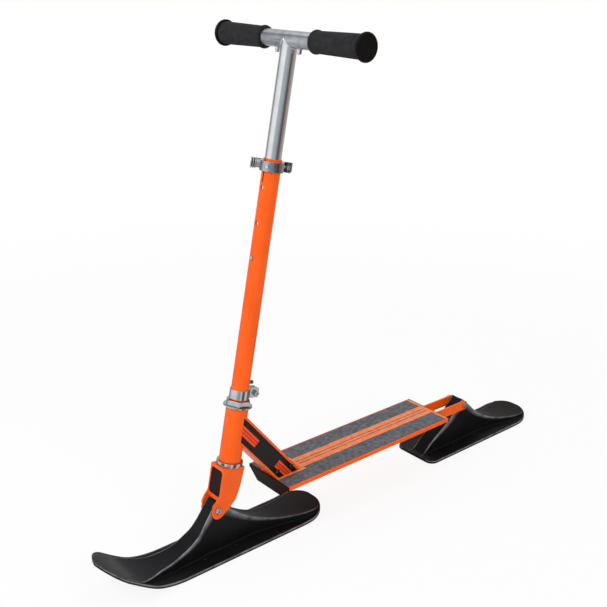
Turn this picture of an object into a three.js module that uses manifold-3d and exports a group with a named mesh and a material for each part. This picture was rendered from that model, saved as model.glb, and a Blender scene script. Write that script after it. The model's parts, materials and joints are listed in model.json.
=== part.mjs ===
// Snow scooter: a kick scooter frame carried by two pivoting skis, with a telescopic handlebar.
// Millimetres. +X is forward, +Y is the rider's left and +Z is up. The skis stand on Z = 0, and the
// origin is under the middle of the overall length.

import * as THREE from "three";
import { mergeVertices } from "three/addons/utils/BufferGeometryUtils.js";
import Module from "manifold-3d";

const wasm = await Module();
wasm.setup();

// Driving dimensions

const steeringLean = THREE.MathUtils.degToRad(11.25);
const clampTurn = THREE.MathUtils.degToRad(50.2);
const pivotHeight = 81.5;
const forkOffset = 23.7;
const barRise = 772;
const gripReach = 172;
const skiWidth = 101;
const noseReach = 222;
const frontTailReach = 221;
const rearNoseReach = 125;
const rearTailReach = 194;
const deckStart = 119.8;
const deckLength = 410;
const deckWidth = 112;
const deckTop = 95.5;
const armReach = 86.7;
const outerTubeOuter = 15;
const outerTubeWall = 1.5;
const outerTubeLength = 399;
const crossTubeOuter = 13.25;

// Clearances shared by all pieces

const seatGap = 0.3;
const holeGap = 0.3;
const overrun = 3;

// Facet counts

const roundSides = 28;
const tubeSides = 22;
const smallSides = 12;
const screwSides = 8;
const arcSteps = 5;
const endStations = 7;
const tailStations = 9;
const noseStations = 11;
const hollowStations = 5;

// Colours and finishes

function finish(color, roughness, metalness) {
  return new THREE.MeshStandardMaterial({ color, roughness, metalness });
}

const orangePaint = finish(0xf4601a, 0.32, 0.1);
const polished = finish(0xd9dadc, 0.16, 1);
const satinMetal = finish(0xb9bcc0, 0.35, 1);
const zinc = finish(0x9fa2a6, 0.4, 1);
const skiPlastic = finish(0x17181a, 0.42, 0);
const blackPlastic = finish(0x0e0e10, 0.5, 0);
const foam = finish(0x161618, 0.85, 0);
const tapeGrit = finish(0x3a3d42, 0.9, 0);
const springSteel = finish(0x6d7074, 0.35, 1);

// Geometry and solids

const centre = (low, high) => (low + high) / 2;

function signedVolume(positions, triangles) {
  const a = new THREE.Vector3();
  const b = new THREE.Vector3();
  const c = new THREE.Vector3();
  let total = 0;
  for (let i = 0; i < triangles.length; i += 3) {
    a.fromArray(positions, 3 * triangles[i]);
    b.fromArray(positions, 3 * triangles[i + 1]);
    c.fromArray(positions, 3 * triangles[i + 2]);
    total += a.dot(b.cross(c)) / 6;
  }
  return total;
}

// A closed geometry as a solid, with its faces turned outwards.
function solid(geometry) {
  const bare = geometry.clone();
  bare.deleteAttribute("normal");
  bare.deleteAttribute("uv");
  const merged = mergeVertices(bare);
  const vertProperties = new Float32Array(merged.attributes.position.array);
  const triVerts = new Uint32Array(merged.index.array);
  if (signedVolume(vertProperties, triVerts) < 0) {
    for (let i = 0; i < triVerts.length; i += 3) {
      const swap = triVerts[i];
      triVerts[i] = triVerts[i + 1];
      triVerts[i + 1] = swap;
    }
  }
  return new wasm.Manifold(new wasm.Mesh({ numProp: 3, vertProperties, triVerts }));
}

const join = (...solids) => solids.reduce((whole, piece) => whole.add(piece));
const cut = (body, ...cutters) => cutters.reduce((whole, cutter) => whole.subtract(cutter), body);

function geometryOf(body) {
  const mesh = body.getMesh();
  const geometry = new THREE.BufferGeometry();
  const places = new Float32Array(mesh.vertProperties);
  geometry.setAttribute("position", new THREE.BufferAttribute(places, 3));
  geometry.setIndex(new THREE.BufferAttribute(new Uint32Array(mesh.triVerts), 1));
  geometry.computeVertexNormals();
  return geometry;
}

function rodZ(radius, low, high, x = 0, y = 0, sides = smallSides) {
  const geometry = new THREE.CylinderGeometry(radius, radius, high - low, sides);
  geometry.rotateX(Math.PI / 2);
  geometry.translate(x, y, centre(low, high));
  return solid(geometry);
}

function rodY(radius, low, high, x, z, sides = smallSides) {
  const geometry = new THREE.CylinderGeometry(radius, radius, high - low, sides);
  geometry.translate(x, centre(low, high), z);
  return solid(geometry);
}

function rodX(radius, low, high, y, z, sides = smallSides) {
  const geometry = new THREE.CylinderGeometry(radius, radius, high - low, sides);
  geometry.rotateZ(Math.PI / 2);
  geometry.translate(centre(low, high), y, z);
  return solid(geometry);
}

function block(x, y, z) {
  const geometry = new THREE.BoxGeometry(x[1] - x[0], y[1] - y[0], z[1] - z[0]);
  geometry.translate(centre(...x), centre(...y), centre(...z));
  return solid(geometry);
}

// A profile of [radius, height] points that starts and ends on the Y axis, turned about it.
function spindle(profile, sides = smallSides) {
  const points = profile.map(([radius, height]) => new THREE.Vector2(radius, height));
  return new THREE.LatheGeometry(points, sides);
}

// A profile that is closed on itself, turned about the Z axis.
function turned(profile, sides = roundSides) {
  const geometry = spindle([...profile, profile[0]], sides);
  geometry.rotateX(Math.PI / 2);
  return solid(geometry);
}

// The same, turned about the Y axis: a profile point's height is its place along Y.
function turnedY(profile, x, z, sides = tubeSides) {
  const geometry = spindle([...profile, profile[0]], sides);
  geometry.translate(x, 0, z);
  return solid(geometry);
}

// The profile of a bolt's, screw's or button's rounded head between two heights.
const domeShares = { drop: 0.3, crown: 0.65 };

function domed(radius, low, high) {
  const drop = Math.sign(high - low) * radius * domeShares.drop;
  return [[0, low], [radius, low], [radius, high - drop], [radius * domeShares.crown, high], [0, high]];
}

const ring = (outer, inner, low, high, sides = roundSides) =>
  turned([[inner, low], [outer, low], [outer, high], [inner, high]], sides);

const outline = (points) => new THREE.Shape(points.map(([u, v]) => new THREE.Vector2(u, v)));

function extrusion(shape, depth) {
  return new THREE.ExtrudeGeometry(shape, { depth, bevelEnabled: false, curveSegments: arcSteps });
}

// Extrusions of a shape drawn in X and Y, in X and Z, or in Y and Z.
function plateZ(shape, low, high) {
  const geometry = extrusion(shape, high - low);
  geometry.translate(0, 0, low);
  return solid(geometry);
}

function plateY(shape, low, high) {
  const geometry = extrusion(shape, high - low);
  geometry.rotateX(Math.PI / 2);
  geometry.translate(0, high, 0);
  return solid(geometry);
}

function plateX(shape, low, high) {
  const geometry = extrusion(shape, high - low);
  geometry.rotateY(Math.PI / 2);
  geometry.rotateX(Math.PI / 2);
  geometry.translate(low, 0, 0);
  return solid(geometry);
}

function roundedOutline(u, v, radius) {
  const shape = new THREE.Shape();
  shape.moveTo(u[0] + radius, v[0]);
  shape.lineTo(u[1] - radius, v[0]);
  shape.absarc(u[1] - radius, v[0] + radius, radius, -Math.PI / 2, 0);
  shape.lineTo(u[1], v[1] - radius);
  shape.absarc(u[1] - radius, v[1] - radius, radius, 0, Math.PI / 2);
  shape.lineTo(u[0] + radius, v[1]);
  shape.absarc(u[0] + radius, v[1] - radius, radius, Math.PI / 2, Math.PI);
  shape.lineTo(u[0], v[0] + radius);
  shape.absarc(u[0] + radius, v[0] + radius, radius, Math.PI, Math.PI * 1.5);
  return shape;
}

function hexOutline(acrossFlats) {
  const corner = acrossFlats / Math.sqrt(3);
  const points = [];
  for (let i = 0; i < 6; i++) {
    const angle = (i * Math.PI) / 3;
    points.push([corner * Math.cos(angle), corner * Math.sin(angle)]);
  }
  return outline(points);
}

// A skin through closed sections of equal point counts, closed by a fan at each end.
function loft(sections) {
  const count = sections[0].length;
  const positions = sections.flat(2);
  const triangles = [];
  for (let i = 0; i + 1 < sections.length; i++) {
    for (let j = 0; j < count; j++) {
      const a = i * count + j;
      const b = i * count + ((j + 1) % count);
      triangles.push(a, b, a + count, b, b + count, a + count);
    }
  }
  const last = (sections.length - 1) * count;
  for (const j of THREE.ShapeUtils.triangulateShape(flatSection(sections[0]), [])) {
    triangles.push(j[0], j[2], j[1]);
  }
  for (const j of THREE.ShapeUtils.triangulateShape(flatSection(sections.at(-1)), [])) {
    triangles.push(last + j[0], last + j[1], last + j[2]);
  }
  const geometry = new THREE.BufferGeometry();
  geometry.setAttribute("position", new THREE.Float32BufferAttribute(positions, 3));
  geometry.setIndex(triangles);
  return solid(geometry);
}

const flatSection = (section) => section.map(([, y, z]) => new THREE.Vector2(y, z));

// A smooth function through points of [place, value], in rising order of place.
const samplesPerPoint = 40;

function smooth(points) {
  const curve = new THREE.SplineCurve(points.map(([place, value]) => new THREE.Vector2(place, value)));
  const samples = curve.getPoints(samplesPerPoint * points.length);
  return (place) => {
    if (place <= samples[0].x) return samples[0].y;
    for (let i = 1; i < samples.length; i++) {
      if (place <= samples[i].x) {
        const share = (place - samples[i - 1].x) / (samples[i].x - samples[i - 1].x);
        return THREE.MathUtils.lerp(samples[i - 1].y, samples[i].y, share);
      }
    }
    return samples.at(-1).y;
  };
}

// Scene graph

// A point on the steering axis, a way up from its foot.
const axisPoint = (rise) => new THREE.Vector2(
  -forkOffset * Math.cos(steeringLean) - rise * Math.sin(steeringLean),
  pivotHeight - forkOffset * Math.sin(steeringLean) + rise * Math.cos(steeringLean),
);

const root = new THREE.Group();
const steering = new THREE.Group();
steering.position.set(axisPoint(0).x, 0, axisPoint(0).y);
steering.rotation.y = -steeringLean;
root.add(steering);

function add(group, name, body, material) {
  const mesh = new THREE.Mesh(geometryOf(body), material);
  mesh.name = name;
  group.add(mesh);
}

// Skis
// Each ski is a moulding with a flat running plate, a raised rim lip and a hollow saddle spine that
// sweeps up to the pivot. A sole plate, held by four screws, closes the spine from below.

const plateThickness = 4.6;
const rimHeight = 5.6;
const lipWidth = 2.2;
const lipSlope = 1.2;
const edgeChamfer = 1.4;
const spineCap = 12.5;
const spineDraft = 3;
const spineWall = 3.2;
const spineEdge = 1.6;
const filletSize = 3;
const blendHeight = 0.5;
const tailCorner = 43;
const noseCorner = 16;
const tailRiseLength = 62;
const tailRise = 11;
const noseRiseLength = 132;
const noseRise = 65;
const noseRound = 36;
const tipHalf = 6;
const pivotWeb = 13;
const bushOuter = 6;
const bushProud = 1.3;
const axleRadius = 4;
const soleThickness = 2;
const soleCorner = 8;
const soleFront = 84;
const soleBack = 118;
const grooveHalf = 2;
const grooveDepth = 0.8;
const screwRadius = 2;
const screwHeadRadius = 4;
const screwHeadHeight = 2;
const screwPlaces = [34, -30];

const soleShare = 0.6;
const grooveShare = 0.27;
const screwShare = 0.475;
const filletShares = { bend: 0.25, rise: 0.35, footing: 0.01 };
const noseRiseShares = [
  [0, 0], [0.19, 0.05], [0.38, 0.165], [0.57, 0.4], [0.72, 0.62], [0.91, 0.88], [1, 1],
];
const noseSpineShares = [
  [0, 0.25, 1], [0.044, 0.25, 0.872], [0.082, 0.25, 0.745], [0.123, 0.262, 0.617], [0.169, 0.3, 0.489],
  [0.256, 0.335, 0.362], [0.313, 0.345, 0.298], [0.42, 0.41, 0.236], [0.54, 0.5, 0.222], [0.649, 0.7, 0.26],
  [0.77, 0.88, 0.37], [1, 0.96, 0.75],
];
const tailSpineShares = [
  [0, 0.277, 1], [0.093, 0.277, 0.83], [0.228, 0.27, 0.564], [0.358, 0.31, 0.378], [0.493, 0.42, 0.255],
  [0.623, 0.54, 0.19], [0.805, 0.72, 0.16], [1, 0.8, 0.18],
];
const squareSpineShares = [
  [0, 0.277, 1], [0.12, 0.277, 0.83], [0.374, 0.29, 0.553], [0.679, 0.295, 0.298], [0.83, 0.3, 0.13],
  [0.92, 0.31, 0.04], [1, 0.32, 0.03],
];
const noseRoundShares = { power: 1.9, root: 0.75 };

const skiHalf = skiWidth / 2;
const spineTop = pivotHeight + spineCap;
const soleHalf = soleShare * skiHalf;
const grooveOffset = grooveShare * skiHalf;
const screwOffset = screwShare * skiHalf;

// What the two skis share, and where they differ: the front end.
function skiForm(front, tail, upturned) {
  const noseCurve = smooth(noseRiseShares.map(([x, z]) => [x * noseRiseLength, z * noseRise]));
  const frontShares = upturned ? noseSpineShares : squareSpineShares;
  const halfOf = (shares, reach) => smooth(shares.map(([along, half]) => [along * reach, half * skiHalf]));
  const topOf = (shares, reach) => smooth(shares.map(([along, , top]) => [along * reach, top * spineTop]));
  const frontHalf = halfOf(frontShares, front);
  const frontTop = topOf(frontShares, front);
  const tailHalf = halfOf(tailSpineShares, tail);
  const tailTop = topOf(tailSpineShares, tail);

  const corner = (distance, radius) => {
    const inside = Math.min(Math.max(distance, 0), radius);
    return skiHalf - radius + Math.sqrt(radius * radius - inside * inside);
  };
  const halfAt = (x) => {
    if (x < 0) return corner(-x - (tail - tailCorner), tailCorner);
    if (!upturned) return corner(x - (front - noseCorner), noseCorner);
    const share = Math.max(0, (x - (front - noseRound)) / noseRound);
    const round = (1 - share ** noseRoundShares.power) ** noseRoundShares.root;
    return Math.max(tipHalf, skiHalf * round);
  };
  const baseAt = (x) => {
    if (x < 0) return tailRise * Math.max(0, (-x - (tail - tailRiseLength)) / tailRiseLength) ** 2;
    return upturned ? noseCurve(Math.max(0, x - (front - noseRiseLength))) : 0;
  };
  const spineHalfAt = (x) => (x < 0 ? tailHalf(-x) : frontHalf(x));
  const spineTopAt = (x) => (x < 0 ? tailTop(-x) : frontTop(x));
  return { front, tail, halfAt, baseAt, spineHalfAt, spineTopAt };
}

// Half of a section from the middle of the base round the rim to the middle of the spine's top.
function skiHalfSection(form, x) {
  const half = form.halfAt(x);
  const base = form.baseAt(x);
  const narrow = half / skiHalf;
  const plate = base + plateThickness;
  const top = Math.max(form.spineTopAt(x), plate + blendHeight);
  const rise = (top - plate) / (spineTop - plateThickness);
  const lip = half - lipWidth * narrow;
  const lipFoot = lip - lipSlope * narrow;
  const fillet = Math.min(filletSize, (top - plate) / 2) * narrow;
  const edge = Math.min(spineEdge, (top - plate) / 3) * narrow;
  const ribbon = Math.min(form.spineHalfAt(x), lipFoot - (spineEdge + filletSize) * narrow);
  const foot = Math.min(
    ribbon + spineDraft * rise,
    lipFoot - (filletSize + filletShares.footing * half) * narrow,
  );
  return [
    [half - edgeChamfer * narrow, base],
    [half, base + edgeChamfer],
    [half, base + rimHeight],
    [lip, base + rimHeight],
    [lipFoot, plate],
    [foot + fillet, plate],
    [foot + fillet * filletShares.bend, plate + fillet * filletShares.rise],
    [foot, plate + fillet],
    [ribbon, top - edge],
    [ribbon - edge * filletShares.rise, top - edge * filletShares.bend],
    [ribbon - edge, top],
  ];
}

function skiSection(form, x) {
  const right = skiHalfSection(form, x);
  const left = right.map(([y, z]) => [-y, z]).reverse();
  return [...right, ...left].map(([y, z]) => [x, y, z]);
}

// Stations along a ski, closer together in the rounded ends.
function skiStations(form) {
  const stations = [];
  const along = (from, to, count, ease) => {
    for (let i = 0; i < count; i++) {
      stations.push(THREE.MathUtils.lerp(from, to, ease(i / count)));
    }
  };
  const tailEnd = -form.tail + tailCorner;
  const noseEnd = form.front - noseRound;
  along(-form.tail, tailEnd, endStations, (t) => t * t);
  along(tailEnd, 0, tailStations, (t) => t);
  along(0, noseEnd, noseStations, (t) => centre(t, t * t));
  along(noseEnd, form.front, endStations, (t) => 1 - (1 - t) ** 2);
  stations.push(form.front);
  return stations;
}

// The spine's hollow between two places, open at the bottom.
function spineHollow(form, from, to) {
  const sections = [];
  for (let i = 0; i <= hollowStations; i++) {
    const x = THREE.MathUtils.lerp(from, to, i / hollowStations);
    const top = form.spineTopAt(x) - spineWall;
    const upper = form.spineHalfAt(x) - spineWall;
    const corners = [[upper, -overrun], [upper, top], [-upper, top], [-upper, -overrun]];
    sections.push(corners.map(([y, z]) => [x, y, z]));
  }
  return loft(sections);
}

function soleOutline(form, inset) {
  const reach = Math.min(soleFront, form.front - noseCorner - soleCorner);
  const along = [-soleBack + inset, reach - inset];
  return roundedOutline(along, [-soleHalf + inset, soleHalf - inset], soleCorner - inset);
}

const screwSpots = screwPlaces.flatMap((x) => [[x, screwOffset], [x, -screwOffset]]);

function skiBody(form) {
  const moulding = loft(skiStations(form).map((x) => skiSection(form, x)));
  const hollowEnd = Math.min(soleFront, form.front - noseCorner) - 2 * soleCorner;
  const body = cut(
    moulding,
    spineHollow(form, pivotWeb, hollowEnd),
    spineHollow(form, -soleBack + 2 * soleCorner, -pivotWeb),
    plateZ(soleOutline(form, 0), -overrun, soleThickness + seatGap),
    rodY(bushOuter + holeGap, -skiHalf, skiHalf, 0, pivotHeight),
  );
  return screwSpots.reduce((whole, [x, y]) => cut(
    whole,
    rodZ(screwRadius + holeGap, 0, plateThickness + overrun, x, y, screwSides),
  ), body);
}

// The sole with its four screws, whose heads stand on the running plate.
function skiSole(form) {
  const plate = plateZ(soleOutline(form, seatGap), 0, soleThickness);
  const reach = [-soleBack + soleCorner, Math.min(soleFront, form.front - noseCorner) - 2 * soleCorner];
  const grooves = [1, -1].map((side) => block(
    reach,
    [side * grooveOffset - grooveHalf, side * grooveOffset + grooveHalf],
    [-overrun, grooveDepth],
  ));
  const headBottom = plateThickness + seatGap;
  const screws = screwSpots.flatMap(([x, y]) => [
    rodZ(screwRadius, soleThickness / 2, headBottom + screwHeadHeight / 2, x, y, screwSides),
    screwHead(x, y, headBottom),
  ]);
  return join(cut(plate, ...grooves), ...screws);
}

function screwHead(x, y, bottom) {
  const geometry = spindle(domed(screwHeadRadius, bottom, bottom + screwHeadHeight), screwSides);
  geometry.rotateX(Math.PI / 2);
  geometry.translate(x, y, 0);
  return solid(geometry);
}

// A hinge bush that a ski turns on, with the axle bolt and nut that clamp it between two cheeks.
const boltHeadRadius = 6;
const boltHeadHeight = 3.6;
const socketFlats = 5;
const socketDepth = 2.2;
const nutFlats = 13;
const nutHeight = 6;
const threadReach = 1.5;

function axleBolt(cheek) {
  const seat = cheek + seatGap;
  const top = seat + boltHeadHeight;
  const end = -seat - nutHeight - threadReach;
  const head = spindleY(domed(boltHeadRadius, seat, top), 0, pivotHeight);
  const shank = rodY(axleRadius, end, centre(seat, top), 0, pivotHeight);
  const socket = extrusion(hexOutline(socketFlats), socketDepth + overrun);
  socket.rotateX(Math.PI / 2);
  socket.translate(0, top + overrun, pivotHeight);
  return cut(join(head, shank), solid(socket));
}

function spindleY(profile, x, z, sides = smallSides) {
  const geometry = spindle(profile, sides);
  geometry.translate(x, 0, z);
  return solid(geometry);
}

function axleNut(cheek) {
  const geometry = extrusion(hexOutline(nutFlats), nutHeight);
  geometry.rotateX(Math.PI / 2);
  geometry.translate(0, -cheek - seatGap, pivotHeight);
  const end = -cheek - nutHeight - overrun;
  const through = rodY(axleRadius + holeGap / 2, end, -cheek + overrun, 0, pivotHeight);
  return cut(solid(geometry), through);
}

const frontForm = skiForm(noseReach, frontTailReach, true);
const rearForm = skiForm(rearNoseReach, rearTailReach, false);
const bushHalfOf = (form) => form.spineHalfAt(0) + bushProud;

function axleBush(half) {
  const wall = [
    [axleRadius + holeGap, -half], [bushOuter, -half],
    [bushOuter, half], [axleRadius + holeGap, half],
  ];
  return turnedY(wall, 0, pivotHeight, smallSides);
}

function addSki(group, prefix, form, cheek) {
  add(group, prefix + "_ski", skiBody(form), skiPlastic);
  add(group, prefix + "_ski_sole", skiSole(form), blackPlastic);
  add(group, prefix + "_ski_bush", axleBush(bushHalfOf(form)), blackPlastic);
  add(group, prefix + "_axle_bolt", axleBolt(cheek), zinc);
  add(group, prefix + "_axle_nut", axleNut(cheek), zinc);
}

// Fork: two joggled legs under a crown, a front web with a window, and the steerer tube

const cheekInner = bushHalfOf(frontForm) + seatGap;
const legThickness = 3;
const forkCheek = cheekInner + legThickness;
const crownHalf = outerTubeOuter + 3.4;
const crownTop = 74;
const crownPlate = 4;
const crownFront = 24.3;
const crownRear = 19;
const earRadius = 12.4;
const earBack = 2;
const earDrop = 4.3;
const earStart = THREE.MathUtils.degToRad(232);
const earEnd = THREE.MathUtils.degToRad(20);
const joggle = { low: 10, high: 14 };
const webThickness = 3;
const webBottom = crownTop - 59;
const windowLow = crownTop - 52;
const windowHigh = crownTop - 5.5;
const windowHalf = crownHalf - legThickness;
const windowCorner = 5;
const insertDepth = 8;
const insertRecess = 0.8;
const steererOuter = outerTubeOuter - outerTubeWall - seatGap;
const steererWall = 2.2;
const legRearShares = [
  [0.98, 0.87], [0.92, 0.73], [0.77, 0.45], [0.5, 0.19], [0.03, 0.01], [-0.33, -0.08], [-0.6, -0.165],
];
const legFrontShares = [[1.41, 0.11], [1.18, 0.24], [1.035, 0.33], [0.985, 0.45], [0.98, 0.7]];

function legOutline() {
  const shape = new THREE.Shape();
  const ear = new THREE.Vector2(forkOffset - earBack, -earDrop);
  shape.moveTo(-crownRear, crownTop);
  const rear = legRearShares.map(([u, v]) => new THREE.Vector2(-u * crownRear, v * crownTop));
  rear.push(new THREE.Vector2(Math.cos(earStart), Math.sin(earStart)).multiplyScalar(earRadius).add(ear));
  shape.splineThru(rear);
  shape.absarc(ear.x, ear.y, earRadius, earStart, earEnd + 2 * Math.PI);
  const front = legFrontShares.map(([u, v]) => new THREE.Vector2(u * crownFront, v * crownTop));
  shape.splineThru(front);
  shape.lineTo(crownFront, crownTop);
  return shape;
}

// A leg's thickness seen from the front: close to the ski at the ear, and out to the crown above.
function joggleOutline(side) {
  const inner = crownHalf - legThickness;
  const points = [
    [cheekInner, -2 * earRadius], [forkCheek, -2 * earRadius], [forkCheek, joggle.low],
    [crownHalf, joggle.high], [crownHalf, crownTop], [inner, crownTop],
    [inner, joggle.high + seatGap], [cheekInner, joggle.low + seatGap],
  ];
  return outline(points.map(([y, z]) => [side * y, z]));
}

function forkBody() {
  const spread = Math.max(crownHalf, forkCheek) + overrun;
  const sheet = plateY(legOutline(), -spread, spread);
  const legs = [1, -1].map((side) => sheet.intersect(
    plateX(joggleOutline(side), -crownRear - overrun, crownFront + 2 * earRadius),
  ));
  const across = [-crownHalf, crownHalf];
  const crown = block([-crownRear, crownFront], across, [crownTop - crownPlate, crownTop]);
  const web = block([crownFront - webThickness, crownFront], across, [webBottom, crownTop]);
  const opening = plateX(
    roundedOutline([-windowHalf, windowHalf], [windowLow, windowHigh], windowCorner),
    crownFront - webThickness - overrun,
    crownFront + overrun,
  );
  const steererLow = crownTop - crownPlate;
  const steererInner = steererOuter - steererWall;
  const steerer = rodZ(steererOuter, steererLow, steererTop, 0, 0, tubeSides);
  const bore = rodZ(steererInner, steererLow - overrun, steererTop + overrun, 0, 0, tubeSides);
  const axle = rodY(axleRadius + holeGap, -skiHalf, skiHalf, forkOffset, 0);
  const pinHole = rodX(stopScrewRadius + holeGap, -outerTubeOuter, 0, 0, stopScrewRise, smallSides);
  return cut(join(...legs, crown, cut(web, opening), steerer), bore, axle, pinHole);
}

function forkInsert() {
  const half = windowHalf - seatGap;
  const face = roundedOutline(
    [-half, half],
    [windowLow + seatGap, windowHigh - seatGap],
    windowCorner - seatGap,
  );
  return plateX(face, crownFront - insertDepth, crownFront - insertRecess);
}

// Headset: crown race, lower cup and bearing, head tube, upper bearing, washer and locknut

const headOuter = outerTubeOuter + 4;
const headWall = 2;
const headLength = 97;
const raceHeight = 2.2;
const raceOuter = headOuter + 1.5;
const cupOuter = headOuter + 3.5;
const cupFlange = 4.9;
const cupSkirt = 10;
const bearingHeight = 7;
const washerOuter = headOuter + 5.5;
const washerHeight = 2;
const locknutFlats = 2 * (outerTubeOuter + 3.5);
const locknutHeight = 9;
const locknutShoulder = outerTubeOuter + 4.6;
const locknutShoulderHeight = 1.2;

const headInner = headOuter - headWall;
const steererBore = steererOuter + holeGap;
const raceTop = crownTop + seatGap + raceHeight;
const cupLow = raceTop + seatGap;
const headLow = cupLow + cupFlange + seatGap;
const headHigh = headLow + headLength;
const locknutTop = headHigh + seatGap + washerHeight + seatGap + locknutHeight;

function lowerCup() {
  const skirtOuter = headInner - seatGap;
  const flangeTop = headLow - seatGap;
  const bore = centre(steererBore, skirtOuter);
  return turned([
    [bore, cupLow], [cupOuter, cupLow], [cupOuter, flangeTop], [skirtOuter, flangeTop],
    [skirtOuter, flangeTop + cupSkirt], [bore, flangeTop + cupSkirt],
  ]);
}

function addHeadset() {
  const skirtOuter = headInner - seatGap;
  const cupBoreRadius = centre(steererBore, skirtOuter);
  const lowerRace = ring(raceOuter, steererBore, crownTop + seatGap, raceTop);
  add(steering, "crown_race", lowerRace, satinMetal);
  add(steering, "lower_cup", lowerCup(), polished);
  const lowerBearing = ring(cupBoreRadius - seatGap, steererBore, cupLow, cupLow + bearingHeight);
  add(steering, "lower_bearing", lowerBearing, springSteel);
  add(steering, "head_tube", ring(headOuter, headInner, headLow, headHigh), orangePaint);
  const upperBearing = ring(headInner - seatGap, steererBore, headHigh - bearingHeight, headHigh);
  add(steering, "upper_bearing", upperBearing, springSteel);
  const washerLow = headHigh + seatGap;
  const washerTop = washerLow + washerHeight;
  add(steering, "top_washer", ring(washerOuter, steererBore, washerLow, washerTop), polished);
  add(steering, "locknut", locknut(washerTop + seatGap), polished);
}

function locknut(low) {
  const high = low + locknutHeight;
  const shoulder = high - locknutShoulderHeight;
  const corner = locknutFlats / Math.sqrt(3);
  const dome = turned([
    [steererBore, low], [corner, low], [corner, shoulder - locknutShoulderHeight],
    [locknutShoulder, shoulder], [locknutShoulder, high], [steererBore, high],
  ]);
  return dome.intersect(plateZ(hexOutline(locknutFlats), low - overrun, high + overrun));
}

// Outer steering tube with its rear and front slits, the height holes and the rear stop screw

const outerTubeInner = outerTubeOuter - outerTubeWall;
const outerTubeLow = locknutTop + seatGap;
const outerTubeHigh = outerTubeLow + outerTubeLength;
const frontSlitHalf = 1.6;
const frontSlitLow = outerTubeHigh - 35.5;
const slitEndRadius = 2.4;
const rearSlitHalf = 1.6;
const rearSlitHeight = 20;
const holeStartShare = 0.6;
const holePitchShare = 1 / 7;
const holeCount = 3;
const heightButtonRadius = 3.5;
const heightButtonOut = 2.4;
const heightButtonTravel = 3;
const buttonGap = 0.1;
const stopScrewRadius = 2;
const stopScrewRise = outerTubeLow + 27.2;
const stopScrewReach = outerTubeOuter + 9;
const stopHeadRadius = 3.3;
const stopHeadHeight = 4;
const steererTop = outerTubeLow + 59;
const buttonRise = outerTubeLow + holeStartShare * outerTubeLength;
const holePitch = holePitchShare * outerTubeLength;

function outerTube() {
  const wall = ring(outerTubeOuter, outerTubeInner, outerTubeLow, outerTubeHigh, tubeSides);
  const outside = outerTubeOuter + overrun;
  const frontSlit = block(
    [0, outside],
    [-frontSlitHalf, frontSlitHalf],
    [frontSlitLow, outerTubeHigh + overrun],
  );
  const rearSlit = block(
    [-outside, 0],
    [-rearSlitHalf, rearSlitHalf],
    [outerTubeLow - overrun, outerTubeLow + rearSlitHeight],
  );
  const slitEnd = rodX(slitEndRadius, 0, outside, 0, frontSlitLow);
  const stopHole = rodX(stopScrewRadius + holeGap, -outside, 0, 0, stopScrewRise);
  const holes = [];
  for (let i = 0; i < holeCount; i++) {
    holes.push(rodX(heightButtonRadius + holeGap, 0, outside, 0, buttonRise + i * holePitch));
  }
  return cut(wall, frontSlit, slitEnd, rearSlit, stopHole, ...holes);
}

function stopScrew() {
  const tip = steererOuter - steererWall + seatGap;
  const shank = rodX(stopScrewRadius, -stopScrewReach + stopHeadHeight / 2, -tip, 0, stopScrewRise);
  const head = rodX(stopHeadRadius, -stopScrewReach, -stopScrewReach + stopHeadHeight, 0, stopScrewRise);
  return join(shank, head);
}

function heightButton() {
  const outer = outerTubeOuter + heightButtonOut;
  const geometry = spindle(domed(heightButtonRadius, outerTubeInner + buttonGap, outer));
  geometry.rotateZ(-Math.PI / 2);
  geometry.translate(0, 0, buttonRise);
  return solid(geometry);
}

// Lower pinch collar with its ears to the rear

const collarBore = outerTubeOuter + seatGap;
const pinchOuter = outerTubeOuter + 1.6;
const pinchLow = outerTubeLow + 2.1;
const pinchHigh = pinchLow + 16;
const pinchSlitHalf = 1.5;
const pinchEarHalf = 8.5;
const pinchEarReach = outerTubeOuter + 19;
const pinchBoltBack = outerTubeOuter + 12;
const pinchBoltRadius = 2.5;
const pinchHeadRadius = 4.4;
const pinchHeadHeight = 5;
const pinchSocketFlats = 4;
const pinchSocketDepth = 2.6;
const pinchNutFlats = 8;
const pinchNutHeight = 4;

const pinchMiddle = centre(pinchLow, pinchHigh);

function pinchCollar() {
  const band = ring(pinchOuter, collarBore, pinchLow, pinchHigh, roundSides);
  const ears = block([-pinchEarReach, -collarBore], [-pinchEarHalf, pinchEarHalf], [pinchLow, pinchHigh]);
  const bore = rodZ(collarBore, pinchLow - overrun, pinchHigh + overrun, 0, 0, roundSides);
  const slit = block(
    [-pinchEarReach - overrun, 0],
    [-pinchSlitHalf, pinchSlitHalf],
    [pinchLow - overrun, pinchHigh + overrun],
  );
  const hole = rodY(pinchBoltRadius + holeGap, -pinchEarReach, pinchEarReach, -pinchBoltBack, pinchMiddle);
  return cut(join(band, ears), bore, slit, hole);
}

function pinchBolt() {
  const seat = pinchEarHalf + seatGap;
  const top = seat + pinchHeadHeight;
  const end = -seat - pinchNutHeight - threadReach;
  const shank = rodY(pinchBoltRadius, end, centre(seat, top), -pinchBoltBack, pinchMiddle);
  const head = rodY(pinchHeadRadius, seat, top, -pinchBoltBack, pinchMiddle);
  const socket = extrusion(hexOutline(pinchSocketFlats), pinchSocketDepth + overrun);
  socket.rotateX(Math.PI / 2);
  socket.translate(-pinchBoltBack, top + overrun, pinchMiddle);
  return cut(join(shank, head), solid(socket));
}

function pinchNut() {
  const seat = pinchEarHalf + seatGap;
  const geometry = extrusion(hexOutline(pinchNutFlats), pinchNutHeight);
  geometry.rotateX(Math.PI / 2);
  geometry.translate(-pinchBoltBack, -seat, pinchMiddle);
  const end = -seat - pinchNutHeight - overrun;
  const bore = rodY(pinchBoltRadius + holeGap / 2, end, 0, -pinchBoltBack, pinchMiddle);
  return cut(solid(geometry), bore);
}

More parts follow.
